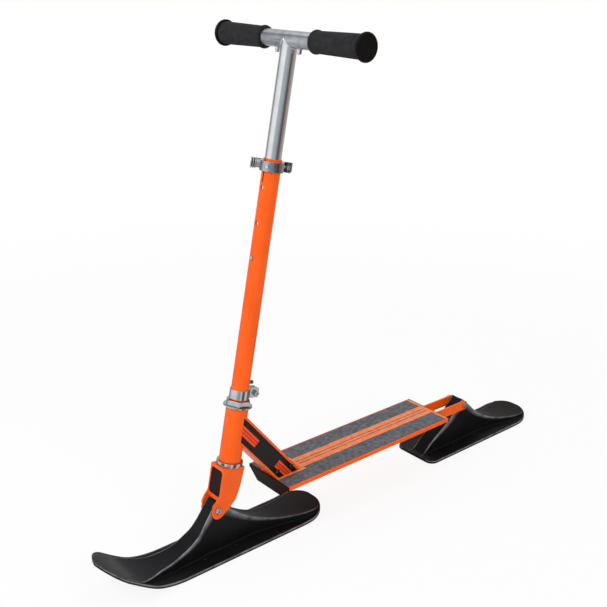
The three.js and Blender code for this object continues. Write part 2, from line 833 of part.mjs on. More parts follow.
// Quick-release clamp on the tube's mouth. Its group is turned so that +Y runs along the skewer
// towards the lever, and the ears point to -X, away from the rider's left front.

const clamp = new THREE.Group();
clamp.rotation.z = clampTurn;
steering.add(clamp);

const clampLow = outerTubeHigh - 20;
const clampHigh = outerTubeHigh - 4;
const clampOuter = outerTubeOuter + 4.35;
const clampBlockHalf = outerTubeOuter + 4.2;
const clampBlockFront = 9;
const clampBlockBack = outerTubeOuter + 16;
const clampSlitHalf = 1.6;
const skewerBack = outerTubeOuter + 8.6;
const skewerRadius = 2.9;
const spacerOuter = 7;
const spacerThickness = 6;
const ribNutOuter = 9;
const ribNutThickness = 8.6;
const ribCount = 3;
const ribDepth = 1.6;
const barrelRadius = 5.6;
const barrelHalf = 8.2;
const eyeHalf = 3.6;
const eyeRadius = 4.6;
const camPinRadius = 1.8;
const leverThickness = 3;
const leverHalf = 7.4;
const leverReach = 24;
const leverGap = 1.5;
const leverLip = 3;
const bossRadius = 4.3;
const bossOut = 2.6;
const bossTurn = THREE.MathUtils.degToRad(-22);
const clampMiddle = centre(clampLow, clampHigh);
const barrelCentre = clampBlockHalf + seatGap + barrelRadius;

function clampCollar() {
  const band = rodZ(clampOuter, clampLow, clampHigh, 0, 0, roundSides);
  const ears = block(
    [-clampBlockBack, -clampBlockFront],
    [-clampBlockHalf, clampBlockHalf],
    [clampLow, clampHigh],
  );
  const bore = rodZ(collarBore, clampLow - overrun, clampHigh + overrun, 0, 0, roundSides);
  const slit = block(
    [-clampBlockBack - overrun, 0],
    [-clampSlitHalf, clampSlitHalf],
    [clampLow - overrun, clampHigh + overrun],
  );
  const hole = rodY(skewerRadius + holeGap, -clampBlockBack, clampBlockBack, -skewerBack, clampMiddle);
  const seatHole = rodX(bossRadius / 2 + holeGap, 0, clampOuter + overrun, 0, clampMiddle);
  return cut(join(band, ears), bore, slit, hole, turnedBy(seatHole, bossTurn));
}

// A solid turned about the tube's axis.
function turnedBy(body, angle) {
  const geometry = geometryOf(body);
  geometry.rotateZ(angle);
  return solid(geometry);
}

function clampBoss() {
  const seat = clampOuter + seatGap;
  const shank = rodX(bossRadius / 2, collarBore, seat + bossOut / 2, 0, clampMiddle);
  const head = spindle(domed(bossRadius, seat, seat + bossOut));
  head.rotateZ(-Math.PI / 2);
  head.translate(0, 0, clampMiddle);
  return turnedBy(join(shank, solid(head)), bossTurn);
}

// The skewer's rod, with a flat eye at the lever end round the cam pin.
function skewer() {
  const nutEnd = -clampBlockHalf - seatGap - spacerThickness - seatGap - ribNutThickness;
  const rodEnd = barrelCentre - camPinRadius - 2 * holeGap;
  const rod = rodY(skewerRadius, nutEnd, rodEnd, -skewerBack, clampMiddle);
  const eye = rodZ(eyeRadius, clampMiddle - eyeHalf, clampMiddle + eyeHalf, -skewerBack, barrelCentre);
  const pinHole = rodZ(camPinRadius + holeGap, clampLow, clampHigh, -skewerBack, barrelCentre);
  return cut(join(rod, eye), pinHole);
}

function skewerSpacer() {
  const outerEnd = -clampBlockHalf - seatGap - spacerThickness;
  const wall = [
    [skewerRadius + holeGap, outerEnd], [spacerOuter, outerEnd],
    [spacerOuter, outerEnd + spacerThickness], [skewerRadius + holeGap, outerEnd + spacerThickness],
  ];
  return turnedY(wall, -skewerBack, clampMiddle, smallSides);
}

// The knurled nut: three round ribs with grooves between them, cut across by fine flutes.
function ribbedNut() {
  const inner = -clampBlockHalf - 2 * seatGap - spacerThickness;
  const pitch = ribNutThickness / (2 * ribCount - 1);
  const profile = [[skewerRadius + holeGap, inner]];
  for (let i = 0; i < 2 * ribCount - 1; i++) {
    const radius = i % 2 === 0 ? ribNutOuter : ribNutOuter - ribDepth;
    profile.push([radius, inner - i * pitch], [radius, inner - (i + 1) * pitch]);
  }
  profile.push([skewerRadius + holeGap, inner - ribNutThickness]);
  return turnedY(profile, -skewerBack, clampMiddle, smallSides);
}

// The lever in plan: a blade behind the collar's block, joined to the cam barrel by a short web.
const webShares = { out: 0.97, in: 0.2, foot: 0.9 };

function leverPlan() {
  const inside = -clampBlockBack - leverGap;
  const outside = inside - leverThickness;
  const lip = leverLip / 2;
  const tip = -leverReach - lip;
  const barrelEnd = barrelCentre + barrelRadius;
  const shape = new THREE.Shape();
  shape.moveTo(-skewerBack - barrelRadius * webShares.in, barrelCentre + barrelRadius * webShares.out);
  shape.lineTo(inside, barrelEnd + lip);
  shape.quadraticCurveTo(outside, barrelEnd, outside, barrelCentre);
  shape.lineTo(outside, -leverReach + leverLip);
  shape.quadraticCurveTo(outside, -leverReach, outside - lip, tip);
  shape.lineTo(outside - lip + leverThickness, tip);
  shape.quadraticCurveTo(inside, -leverReach, inside, -leverReach + leverLip);
  shape.lineTo(inside, barrelCentre - barrelRadius);
  shape.lineTo(-skewerBack - barrelRadius * webShares.foot, barrelCentre);
  return shape;
}

function clampLever() {
  const blade = plateZ(leverPlan(), clampMiddle - leverHalf, clampMiddle + leverHalf);
  const barrelLow = clampMiddle - barrelHalf;
  const barrel = rodZ(barrelRadius, barrelLow, barrelLow + 2 * barrelHalf, -skewerBack, barrelCentre);
  const eyeSlot = rodZ(
    barrelRadius + seatGap,
    clampMiddle - eyeHalf - seatGap,
    clampMiddle + eyeHalf + seatGap,
    -skewerBack,
    barrelCentre,
  );
  const reach = [clampLow - overrun, clampHigh + overrun];
  const pinHole = rodZ(camPinRadius + holeGap, ...reach, -skewerBack, barrelCentre);
  return cut(join(blade, barrel), eyeSlot, pinHole);
}

function camPin() {
  return rodZ(camPinRadius, clampMiddle - barrelHalf, clampMiddle + barrelHalf, -skewerBack, barrelCentre);
}

function addClamp() {
  add(clamp, "clamp_collar", clampCollar(), polished);
  add(clamp, "clamp_boss", clampBoss(), zinc);
  add(clamp, "clamp_skewer", skewer(), zinc);
  add(clamp, "clamp_spacer", skewerSpacer(), satinMetal);
  add(clamp, "clamp_nut", ribbedNut(), satinMetal);
  add(clamp, "clamp_lever", clampLever(), springSteel);
  add(clamp, "clamp_pin", camPin(), zinc);
}

// Handlebar: a telescopic stem welded to a cross tube, with two handles that plug in

const stemOuter = outerTubeInner - seatGap;
const stemWall = 2;
const stemLow = buttonRise - 32;
const crossWall = 1.95;
const crossHalf = 59;
const handleWall = 1.8;
const handleStart = 16;
const handleButtonPlace = 27;
const handleButtonRadius = 3.3;
const handleButtonOut = 7.5;
const handleButtonTravel = 4;
const gripStart = 60;
const gripFlange = crossTubeOuter + 4.75;
const gripFlangeWidth = 6;
const gripNeck = crossTubeOuter + 3.15;
const gripSwell = crossTubeOuter + 5.05;
const capRadius = crossTubeOuter + 8.15;
const capThickness = 6;
const capPlug = 16;
const clipHalf = 3;
const clipThickness = 0.6;
const clipLength = 26;
const clipReach = 20.8;
const clipOverlap = 6.5;

const stemInner = stemOuter - stemWall;
const crossInner = crossTubeOuter - crossWall;
const handleOuter = crossInner - seatGap;
const handleInner = handleOuter - handleWall;

function handlebar() {
  const stem = rodZ(stemOuter, stemLow, barRise, 0, 0, tubeSides);
  const bar = rodY(crossTubeOuter, -crossHalf, crossHalf, 0, barRise, tubeSides);
  const stemBore = rodZ(stemInner, stemLow - overrun, barRise, 0, 0, tubeSides);
  const barBore = rodY(crossInner, -crossHalf - overrun, crossHalf + overrun, 0, barRise, tubeSides);
  const buttonHole = rodX(heightButtonRadius + 2 * holeGap, 0, stemOuter + overrun, 0, buttonRise);
  const handleHoles = [1, -1].map((side) => rodZ(
    handleButtonRadius + holeGap,
    barRise - crossTubeOuter - overrun,
    barRise,
    0,
    side * handleButtonPlace,
  ));
  return cut(join(stem, bar), stemBore, barBore, buttonHole, ...handleHoles);
}

// A bent leaf spring that pushes a button out: two legs joined by a bend, drawn along U and V.
function springLeaf(near, far, start, length) {
  const middle = centre(near, far);
  const shape = new THREE.Shape();
  shape.moveTo(near, start);
  shape.lineTo(near, start + length);
  shape.lineTo(near + clipThickness, start + length);
  shape.lineTo(near + clipThickness, start + clipThickness);
  shape.lineTo(middle, start + clipThickness);
  shape.lineTo(far - clipThickness, start + clipThickness);
  shape.lineTo(far - clipThickness, start + length);
  shape.lineTo(far, start + length);
  shape.lineTo(far, start);
  return shape;
}

function heightSpring() {
  const bore = Math.sqrt((stemInner - seatGap) ** 2 - clipHalf ** 2);
  const front = outerTubeInner - heightButtonTravel - seatGap;
  const leaf = springLeaf(-bore, Math.min(bore, front), buttonRise - clipLength, clipLength + clipOverlap);
  return plateY(leaf, -clipHalf, clipHalf);
}

function handleSpring(side) {
  const bore = Math.sqrt((handleInner - seatGap) ** 2 - clipHalf ** 2);
  const lowLimit = crossInner - handleButtonTravel - seatGap;
  const low = Math.min(bore, lowLimit);
  const geometry = extrusion(springLeaf(-low, bore, 0, clipReach), 2 * clipHalf);
  geometry.translate(0, 0, -clipHalf);
  geometry.rotateY(-Math.PI / 2);
  if (side < 0) {
    geometry.rotateZ(Math.PI);
  }
  geometry.translate(0, side * (handleStart + clipThickness), barRise);
  return solid(geometry);
}

function handleButton(side) {
  const inner = barRise - crossInner - buttonGap;
  const outer = barRise - crossTubeOuter - handleButtonOut;
  const geometry = spindle(domed(handleButtonRadius, inner, outer));
  geometry.rotateX(Math.PI / 2);
  geometry.translate(0, side * handleButtonPlace, 0);
  return solid(geometry);
}

const sideways = (profile, side) => profile.map(([radius, place]) => [radius, side * place]);

function handleTube(side) {
  const end = gripReach - capThickness - seatGap;
  const wall = [
    [handleInner, handleStart], [handleOuter, handleStart],
    [handleOuter, end], [handleInner, end],
  ];
  const holeRadius = handleButtonRadius + 2 * holeGap;
  const hole = rodZ(holeRadius, barRise - crossInner - overrun, barRise, 0, side * handleButtonPlace);
  return cut(turnedY(sideways(wall, side), 0, barRise), hole);
}

function grip(side) {
  const bore = handleOuter + seatGap;
  const end = gripReach - capThickness - seatGap;
  const flangeEnd = gripStart + gripFlangeWidth;
  const shoulder = gripFlange - gripNeck;
  const wall = [
    [bore, gripStart], [gripFlange - shoulder, gripStart], [gripFlange, gripStart + shoulder],
    [gripFlange, flangeEnd - shoulder], [gripNeck, flangeEnd + shoulder],
    [centre(gripNeck, gripSwell), centre(flangeEnd, end)], [gripSwell, end], [bore, end],
  ];
  return turnedY(sideways(wall, side), 0, barRise);
}

function endCap(side) {
  const inside = gripReach - capThickness;
  const edge = capThickness / 3;
  const plug = handleInner - seatGap;
  const profile = [
    [0, inside - capPlug], [plug, inside - capPlug], [plug, inside], [capRadius - edge / 2, inside],
    [capRadius, inside + edge], [capRadius, gripReach - edge], [capRadius - edge, gripReach], [0, gripReach],
  ];
  return spindleY(sideways(profile, side), 0, barRise, tubeSides);
}

function addHandlebar() {
  add(steering, "handlebar", handlebar(), polished);
  add(steering, "height_button", heightButton(), zinc);
  add(steering, "height_spring", heightSpring(), springSteel);
  for (const [name, side] of [["left", 1], ["right", -1]]) {
    add(steering, name + "_handle_tube", handleTube(side), satinMetal);
    add(steering, name + "_grip", grip(side), foam);
    add(steering, name + "_end_cap", endCap(side), blackPlastic);
    add(steering, name + "_handle_button", handleButton(side), zinc);
    add(steering, name + "_handle_spring", handleSpring(side), springSteel);
  }
}

// Frame: neck, deck channel with its end caps and grip tape, and the two rear arms

const neckHalf = headOuter;
const neckWall = 2;
const neckUpper = { foot: -deckStart - 56.8, rise: headHigh - 8.4 };
const neckLower = { foot: -deckStart - 3.9, rise: headLow + 36.6 };
const neckInset = 1;
const footPlate = 3;
const footHeight = 26;
const rivetRise = 14;
const rivetPlaces = [neckLower.foot - 2.3, neckLower.foot - 32.3];
const rivetRadius = 3;
const rivetHeadRadius = 4.6;
const rivetHeadHeight = 2;
const deckPlate = 3;
const deckLip = 7;
const deckLipWidth = 3;
const channelShare = 0.59;
const channelDepth = 24.5;
const channelWall = 2;
const capPlate = 3;
const capPlugDepth = 12;
const tapeThickness = 0.5;
const tapeBorder = 3.2;
const tapeCorner = 3;
const armInner = bushHalfOf(rearForm) + seatGap;
const armThickness = 4;
const armInside = 75;
const rearPivotX = -deckStart - deckLength - armReach;

const deckFrontX = -deckStart - capPlate - seatGap;
const deckBackX = -deckStart - deckLength + capPlate + seatGap;
const deckHalf = deckWidth / 2;
const channelHalf = channelShare * deckHalf;
const neckFoot = deckTop + seatGap;

// The neck's side view from a height up to the steering axis, its long edges drawn in by an inset.
function neckOutline(inset, low) {
  const edge = (line, sign) => {
    const head = axisPoint(line.rise);
    const run = new THREE.Vector2(head.x - line.foot, head.y - neckFoot).normalize();
    const shift = new THREE.Vector2(run.y, -run.x).multiplyScalar(sign * inset);
    const foot = line.foot + shift.x + ((low - neckFoot - shift.y) * run.x) / run.y;
    return [[foot, low], head.add(shift).toArray()];
  };
  const [upperFoot, upperHead] = edge(neckUpper, 1);
  const [lowerFoot, lowerHead] = edge(neckLower, -1);
  return outline([upperFoot, lowerFoot, lowerHead, upperHead]);
}

// The head tube's space, as the frame's pieces see it.
function headClearance() {
  const rod = new THREE.CylinderGeometry(
    headOuter + seatGap,
    headOuter + seatGap,
    headHigh - headLow + 2 * headOuter,
    roundSides,
  );
  rod.rotateX(Math.PI / 2);
  rod.translate(0, 0, centre(headLow, headHigh));
  steering.updateMatrix();
  rod.applyMatrix4(steering.matrix);
  return solid(rod);
}

const rivetHoles = () => rivetPlaces.map(
  (x) => rodY(rivetRadius + holeGap, -deckHalf, deckHalf, x, neckFoot + rivetRise),
);

function neck() {
  const inner = neckHalf - neckWall;
  const shell = plateY(neckOutline(0, neckFoot), -neckHalf, neckHalf);
  const hollow = plateY(neckOutline(neckWall, neckFoot - overrun), -inner, inner);
  return cut(shell, hollow, headClearance(), ...rivetHoles());
}

// The bracket on the deck that the neck slips over and is riveted to.
function neckBracket() {
  const inner = neckHalf - neckWall - seatGap;
  const body = plateY(neckOutline(neckWall + neckInset, neckFoot), -inner, inner);
  const length = [-deckStart - deckLength, 0];
  const slice = block(length, [-neckHalf, neckHalf], [neckFoot, neckFoot + footHeight]);
  const inside = block(
    length,
    [-inner + footPlate, inner - footPlate],
    [neckFoot + footPlate, neckFoot + footHeight + overrun],
  );
  return cut(body.intersect(slice), inside, ...rivetHoles());
}

function neckRivet(x) {
  const z = neckFoot + rivetRise;
  const seat = neckHalf + seatGap;
  const top = seat + rivetHeadHeight;
  const middle = centre(seat, top);
  const head = (side) => spindleY(sideways(domed(rivetHeadRadius, seat, top), side), x, z);
  return join(rodY(rivetRadius, -middle, middle, x, z), head(1), head(-1));
}

// The deck's section: a flat top with side lips over a closed trapezoid channel.
function deckSection(shrink) {
  const low = deckTop - channelDepth;
  const shoulder = deckHalf - deckLipWidth;
  return outline([
    [-deckHalf + shrink, deckTop - shrink], [-deckHalf + shrink, deckTop - deckLip + shrink],
    [-shoulder + shrink, deckTop - deckLip + shrink], [-channelHalf + shrink, low + shrink],
    [channelHalf - shrink, low + shrink], [shoulder - shrink, deckTop - deckLip + shrink],
    [deckHalf - shrink, deckTop - deckLip + shrink], [deckHalf - shrink, deckTop - shrink],
  ]);
}

function channelSection(shrink) {
  const low = deckTop - channelDepth + channelWall;
  const high = deckTop - deckPlate;
  const slope = (deckHalf - deckLipWidth - channelHalf) / (channelDepth - deckLip);
  const upperHalf = deckHalf - 2 * deckLipWidth - channelWall;
  const lowerHalf = channelHalf - channelWall / 2;
  const kneeHalf = Math.min(upperHalf, lowerHalf + slope * (high - low));
  return outline([
    [-kneeHalf + shrink, high - shrink], [-lowerHalf + shrink, low + shrink],
    [lowerHalf - shrink, low + shrink], [kneeHalf - shrink, high - shrink],
  ]);
}

function deck() {
  const shell = plateX(deckSection(0), deckBackX, deckFrontX);
  return cut(shell, plateX(channelSection(0), deckBackX - overrun, deckFrontX + overrun));
}

// An end plate outside x with a plug inside it; direction is where outside is.
function endPlate(x, direction) {
  const span = (a, b) => [Math.min(a, b), Math.max(a, b)];
  const outer = x + direction * capPlate;
  const face = plateX(deckSection(0), ...span(x, outer));
  const plug = plateX(channelSection(seatGap), ...span(x - direction * capPlugDepth, centre(x, outer)));
  return join(face, plug);
}

const armHalfDepth = (channelDepth - deckPlate - channelWall) / 2 - seatGap;
const armMiddle = centre(deckTop - deckPlate, deckTop - channelDepth + channelWall);

function armOutline(grow) {
  const half = armHalfDepth + grow;
  const bend = deckBackX - capPlate;
  const shape = new THREE.Shape();
  const inside = deckBackX + armInside + grow;
  shape.moveTo(inside, armMiddle - half);
  shape.lineTo(inside, armMiddle + half);
  shape.lineTo(bend, armMiddle + half);
  shape.lineTo(rearPivotX, pivotHeight + half);
  shape.absarc(rearPivotX, pivotHeight, half, Math.PI / 2, Math.PI * 1.5);
  shape.lineTo(bend, armMiddle - half);
  return shape;
}

function armSpan(side, grow) {
  const low = armInner - grow;
  const high = armInner + armThickness + grow;
  return side > 0 ? [low, high] : [-high, -low];
}

function rearArm(side) {
  const bar = plateY(armOutline(0), ...armSpan(side, 0));
  return cut(bar, rodY(axleRadius + holeGap, -deckHalf, deckHalf, rearPivotX, pivotHeight));
}

function rearCap() {
  const plate = endPlate(deckBackX - seatGap, -1);
  const slots = [1, -1].map((side) => plateY(armOutline(seatGap), ...armSpan(side, seatGap)));
  return cut(plate, ...slots);
}

function gripTape() {
  const half = deckHalf - tapeBorder;
  const front = -deckStart - tapeBorder;
  const back = -deckStart - deckLength + tapeBorder;
  const low = deckTop + seatGap;
  const across = roundedOutline([back, front], [-half, half], tapeCorner);
  const notchHalf = neckHalf + seatGap;
  const notch = block(
    [neckUpper.foot - seatGap, 0],
    [-notchHalf, notchHalf],
    [low - overrun, low + overrun],
  );
  return cut(plateZ(across, low, low + tapeThickness), notch);
}

function addFrame() {
  add(root, "neck", neck(), orangePaint);
  add(root, "neck_bracket", neckBracket(), satinMetal);
  add(root, "neck_rivet_front", neckRivet(rivetPlaces[0]), satinMetal);
  add(root, "neck_rivet_rear", neckRivet(rivetPlaces[1]), satinMetal);
  add(root, "deck", deck(), orangePaint);
  add(root, "deck_front_cap", endPlate(deckFrontX + seatGap, 1), blackPlastic);
  add(root, "deck_rear_cap", rearCap(), blackPlastic);
  add(root, "grip_tape", gripTape(), tapeGrit);
  add(root, "left_rear_arm", rearArm(1), orangePaint);
  add(root, "right_rear_arm", rearArm(-1), orangePaint);
}

// Assembly

const frontSki = new THREE.Group();
const rearSki = new THREE.Group();
rearSki.position.x = rearPivotX;
root.add(frontSki, rearSki);

addSki(frontSki, "front", frontForm, forkCheek);
addSki(rearSki, "rear", rearForm, armInner + armThickness);
add(steering, "fork", forkBody(), orangePaint);
add(steering, "fork_insert", forkInsert(), blackPlastic);
addHeadset();
add(steering, "outer_tube", outerTube(), orangePaint);
add(steering, "stop_screw", stopScrew(), zinc);
add(steering, "pinch_collar", pinchCollar(), polished);
add(steering, "pinch_bolt", pinchBolt(), zinc);
add(steering, "pinch_nut", pinchNut(), zinc);
addClamp();
addHandlebar();
addFrame();

root.position.x = -(noseReach + rearPivotX - rearTailReach) / 2;

export default root;
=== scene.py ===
"""Finishes, light and camera for a kick scooter on two pivoting skis.

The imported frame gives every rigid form. Each form that shows is welded, gets eased corners and a
finish of its own. The skis' skins, the foam grips and the stem's weld bead are drawn here.
"""

import json
import math

import bmesh
import bpy
from mathutils import Matrix, Vector

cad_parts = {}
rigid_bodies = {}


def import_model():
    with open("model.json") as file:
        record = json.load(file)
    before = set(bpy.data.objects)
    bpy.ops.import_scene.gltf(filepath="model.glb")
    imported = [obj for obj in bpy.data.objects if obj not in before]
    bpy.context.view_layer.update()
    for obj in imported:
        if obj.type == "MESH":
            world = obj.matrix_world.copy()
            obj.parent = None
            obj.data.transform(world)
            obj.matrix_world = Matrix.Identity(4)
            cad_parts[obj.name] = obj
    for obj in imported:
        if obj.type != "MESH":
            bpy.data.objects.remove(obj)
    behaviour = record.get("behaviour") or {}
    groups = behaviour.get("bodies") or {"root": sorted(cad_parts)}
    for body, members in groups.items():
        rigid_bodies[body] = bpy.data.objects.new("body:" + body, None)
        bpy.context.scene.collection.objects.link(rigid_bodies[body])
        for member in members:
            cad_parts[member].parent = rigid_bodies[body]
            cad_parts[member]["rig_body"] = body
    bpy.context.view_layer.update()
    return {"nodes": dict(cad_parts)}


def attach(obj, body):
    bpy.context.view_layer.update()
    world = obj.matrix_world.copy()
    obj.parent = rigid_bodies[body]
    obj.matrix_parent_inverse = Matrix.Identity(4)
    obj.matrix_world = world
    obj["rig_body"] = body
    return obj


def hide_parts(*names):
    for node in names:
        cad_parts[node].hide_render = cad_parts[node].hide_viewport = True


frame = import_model()

MM = 0.001

# Places and sizes in metres, and directions
STEER_UP = Vector((-0.19509, 0, 0.980785))
STEER_FRONT = Vector((0.980785, 0, 0.19509))
BAR_CENTRE = Vector((0.120396, 0, 0.834043))
CROSS_TUBE_RADIUS = 13.25 * MM
STEM_RADIUS = 13.2 * MM
NUT_CENTRE = Vector((0.166052, -0.037335, 0.645222))
NUT_AXIS = Vector((-0.753521, 0.64011, -0.149885))
NECK_FOOT = Vector((0.11765, 0, 0.0958))
NECK_RISE = Vector((0.629, 0, 0.777))
NECK_ACROSS = Vector((0.777, 0, -0.629))
FRONT_PIVOT_X = 0.29425
REAR_PIVOT_X = -0.32225


# Numbers and colours

def shade(red, green, blue):
    """A screen colour, 0 to 255 a channel, as the linear colour that a socket takes."""
    def linear(level):
        level /= 255
        if level <= 0.04045:
            return level / 12.92
        return ((level + 0.055) / 1.055) ** 2.4
    return (linear(red), linear(green), linear(blue), 1)


class Value:
    """A number that changes over a surface, so that a pattern reads as plain sums."""

    def __init__(self, sheet, socket):
        self.sheet = sheet
        self.socket = socket

    def __add__(self, other):
        return self.sheet.maths("ADD", self, other)

    def __radd__(self, other):
        return self.sheet.maths("ADD", other, self)

    def __sub__(self, other):
        return self.sheet.maths("SUBTRACT", self, other)

    def __rsub__(self, other):
        return self.sheet.maths("SUBTRACT", other, self)

    def __mul__(self, other):
        return self.sheet.maths("MULTIPLY", self, other)

    def __rmul__(self, other):
        return self.sheet.maths("MULTIPLY", other, self)

    def size(self):
        """The value without its sign."""
        return self.sheet.maths("ABSOLUTE", self)

    def over(self, edge, soft):
        """0 below the edge and 1 above it, with a soft change that wide."""
        ramp = self.sheet.node(
            "ShaderNodeMapRange",
            {"interpolation_type": "SMOOTHSTEP"},
            {"Value": self, "From Min": edge - soft / 2, "From Max": edge + soft / 2},
        )
        return Value(self.sheet, ramp.outputs[0])

    def between(self, low, high, soft):
        """1 between two edges and 0 outside them."""
        return self.over(low, soft) * (1 - self.over(high, soft))


class Sheet:
    """The nodes of one material or of the world, made one by one."""

    def __init__(self, owner):
        owner.use_nodes = True
        self.tree = owner.node_tree
        self.tree.nodes.clear()

    def node(self, kind, settings=None, inputs=None):
        """A node of any kind: its settings first, then the numbers or links of its sockets."""
        made = self.tree.nodes.new(kind)
        for name, setting in (settings or {}).items():
            if name == "stops":
                self.set_stops(made.color_ramp, setting)
            else:
                setattr(made, name, setting)
        for name, given in (inputs or {}).items():
            if isinstance(given, Value):
                given = given.socket
            if isinstance(given, bpy.types.NodeSocket):
                self.tree.links.new(given, made.inputs[name])
            else:
                made.inputs[name].default_value = given
        return made

    @staticmethod
    def set_stops(ramp, stops):
        """Gives a ramp its tones. The first stop lies at 0 and the last at 1."""
        ramp.elements[0].color = (*stops[0][1], 1)
        ramp.elements[-1].color = (*stops[-1][1], 1)
        for position, tone in stops[1:-1]:
            ramp.elements.new(position).color = (*tone, 1)

    def maths(self, operation, *terms):
        """One sum of values and plain numbers."""
        made = self.node("ShaderNodeMath", {"operation": operation}, dict(enumerate(terms)))
        return Value(self, made.outputs[0])


class Finish(Sheet):
    """A material on Object coordinates."""

    def __init__(self, name, **constants):
        self.material = bpy.data.materials.new(name)
        super().__init__(self.material)
        self.shader = self.node("ShaderNodeBsdfPrincipled", {}, constants)
        self.end = self.node("ShaderNodeOutputMaterial", {}, {"Surface": self.shader.outputs[0]})
        self.place = self.node("ShaderNodeTexCoord").outputs["Object"]

    def along(self, direction, start=(0, 0, 0)):
        """How far a point lies along a direction from a start, in millimetres."""
        apart = self.node(
            "ShaderNodeVectorMath",
            {"operation": "SUBTRACT"},
            {0: self.place, 1: tuple(start)},
        )
        reach = self.node(
            "ShaderNodeVectorMath",
            {"operation": "DOT_PRODUCT"},
            {0: apart.outputs[0], 1: tuple(part / MM for part in direction)},
        )
        return Value(self, reach.outputs["Value"])

    def laid(self, centre=(0, 0, 0), turn=(0, 0, 0), stretch=(1, 1, 1)):
        """Object coordinates centred, turned and stretched for a pattern."""
        made = self.node(
            "ShaderNodeMapping",
            {"vector_type": "POINT"},
            {
                "Vector": self.place,
                "Location": tuple(-part for part in centre),
                "Rotation": turn,
                "Scale": stretch,
            },
        )
        return made.outputs[0]

    def grain(self, scale, detail, place=None):
        """Even noise from 0 to 1, with the scale in grains per metre."""
        made = self.node(
            "ShaderNodeTexNoise",
            {"noise_dimensions": "3D"},
            {"Vector": place or self.place, "Scale": scale, "Detail": detail},
        )
        return Value(self, made.outputs[0])

    def cells(self, scale):
        """Distance to the middle of small cells, for foam and grit."""
        made = self.node(
            "ShaderNodeTexVoronoi", {"feature": "F1"}, {"Vector": self.place, "Scale": scale}
        )
        return Value(self, made.outputs["Distance"])

    def spread(self, value, low, high):
        """The middle part of noise stretched over its whole range."""
        made = self.node(
            "ShaderNodeMapRange",
            {"clamp": True},
            {"Value": value, "From Min": low, "From Max": high},
        )
        return Value(self, made.outputs[0])

    def mixed(self, share, first, second):
        """The first colour where the share is 0 and the second where it is 1."""
        made = self.node(
            "ShaderNodeMix", {"data_type": "RGBA"}, {0: share, 6: first, 7: second}
        )
        return made.outputs[2]

    def raised(self, height, depth):
        """Lets a height from 0 to 1 raise the surface by a depth in millimetres."""
        made = self.node(
            "ShaderNodeBump", {}, {"Strength": 1.0, "Distance": depth * MM, "Height": height}
        )
        self.feed("Normal", made.outputs[0])

    def feed(self, socket, value):
        """Links a value or a colour to a socket of the shader."""
        if isinstance(value, Value):
            value = value.socket
        self.tree.links.new(value, self.shader.inputs[socket])


# Finishes

GLOSS = {"Specular IOR Level": 0.2, "Coat Weight": 0.06, "Coat Roughness": 0.1}
DULL = {"Specular IOR Level": 0.17}
DULLER = {"Specular IOR Level": 0.13}
METAL = {"Metallic": 1.0}

# The neck's print, in millimetres across the neck, aside and up along it
NECK_PANEL = (4.2, 37.4)
NECK_PANEL_ASIDE = 18.7
NECK_STRIPE_MIDDLE = 20.8
NECK_STRIPE_HALF = 7.2
NECK_STRIPE_GAP = (1.6, 2.7)
NECK_PLAIN_RISE = (56.5, 124)
NECK_UNDERSIDE = 0.6

# The grip tape's print, in millimetres across the deck and along it
TAPE_STRIPE_HALF = 16.9
TAPE_STRIPE_GAP = (3.1, 5.2)
TAPE_STRIPE_FRONT = 108
TAPE_BORDER_FRONT = 107.5
TAPE_BORDER_HALF = 24.3
TAPE_TAIL_BAND = -225.5

# The clamp nut's grooves along its axis, and the square of the cross tube's reach, in millimetres
NUT_OUTER_GROOVE = (-2.7, -0.95)
NUT_INNER_GROOVE = (0.75, 2.5)
CROSSING_REACH_SQUARED = 181.5


def paint_on(finish, colour_share=None, second=None, matte=0):
    """Gloss powder coat: fine orange peel, a little tone drift and slightly uneven gloss."""
    drift = finish.spread(finish.grain(22, 3), 0.35, 0.65)
    body = finish.mixed(drift, shade(245, 89, 5), shade(251, 98, 10))
    if colour_share is not None:
        body = finish.mixed(colour_share, body, second)
    finish.feed("Base Color", body)
    finish.feed("Roughness", 0.3 + 0.1 * finish.grain(260, 3) + 0.5 * matte)
    finish.raised(finish.grain(750, 2), 0.035)


def orange_powder_coat():
    finish = Finish("orange_powder_coat", **GLOSS)
    paint_on(finish)
    return finish.material


def stripe_marks(across, half_width, gap, soft):
    """Two broad outer stripes and a narrow middle one, with a thin gap on each side of it."""
    away = across.size()
    return (1 - away.over(gap[0], soft)) + away.between(gap[1], half_width, soft)


def neck_panel_coat():
    """Orange coat with a black side panel and three stripes at each end of it."""
    finish = Finish("neck_panel_coat", **GLOSS)
    rise = finish.along(NECK_RISE, NECK_FOOT)
    across = finish.along(NECK_ACROSS, NECK_FOOT)
    aside = finish.along((0, 1, 0)).size()
    panel = across.between(*NECK_PANEL, 0.3) * aside.over(NECK_PANEL_ASIDE, 0.1)
    marks = stripe_marks(across - NECK_STRIPE_MIDDLE, NECK_STRIPE_HALF, NECK_STRIPE_GAP, 0.25)
    stripes = marks * (1 - rise.between(*NECK_PLAIN_RISE, 0.4))
    ink = finish.spread(finish.grain(180, 2), 0.3, 0.7)
    black = finish.mixed(ink, shade(16, 10, 12), shade(24, 17, 19))
    printed = finish.mixed(stripes, black, shade(246, 72, 16))
    underside = 1 - across.over(NECK_UNDERSIDE, 0.4)
    paint_on(finish, panel, printed, underside)
    return finish.material


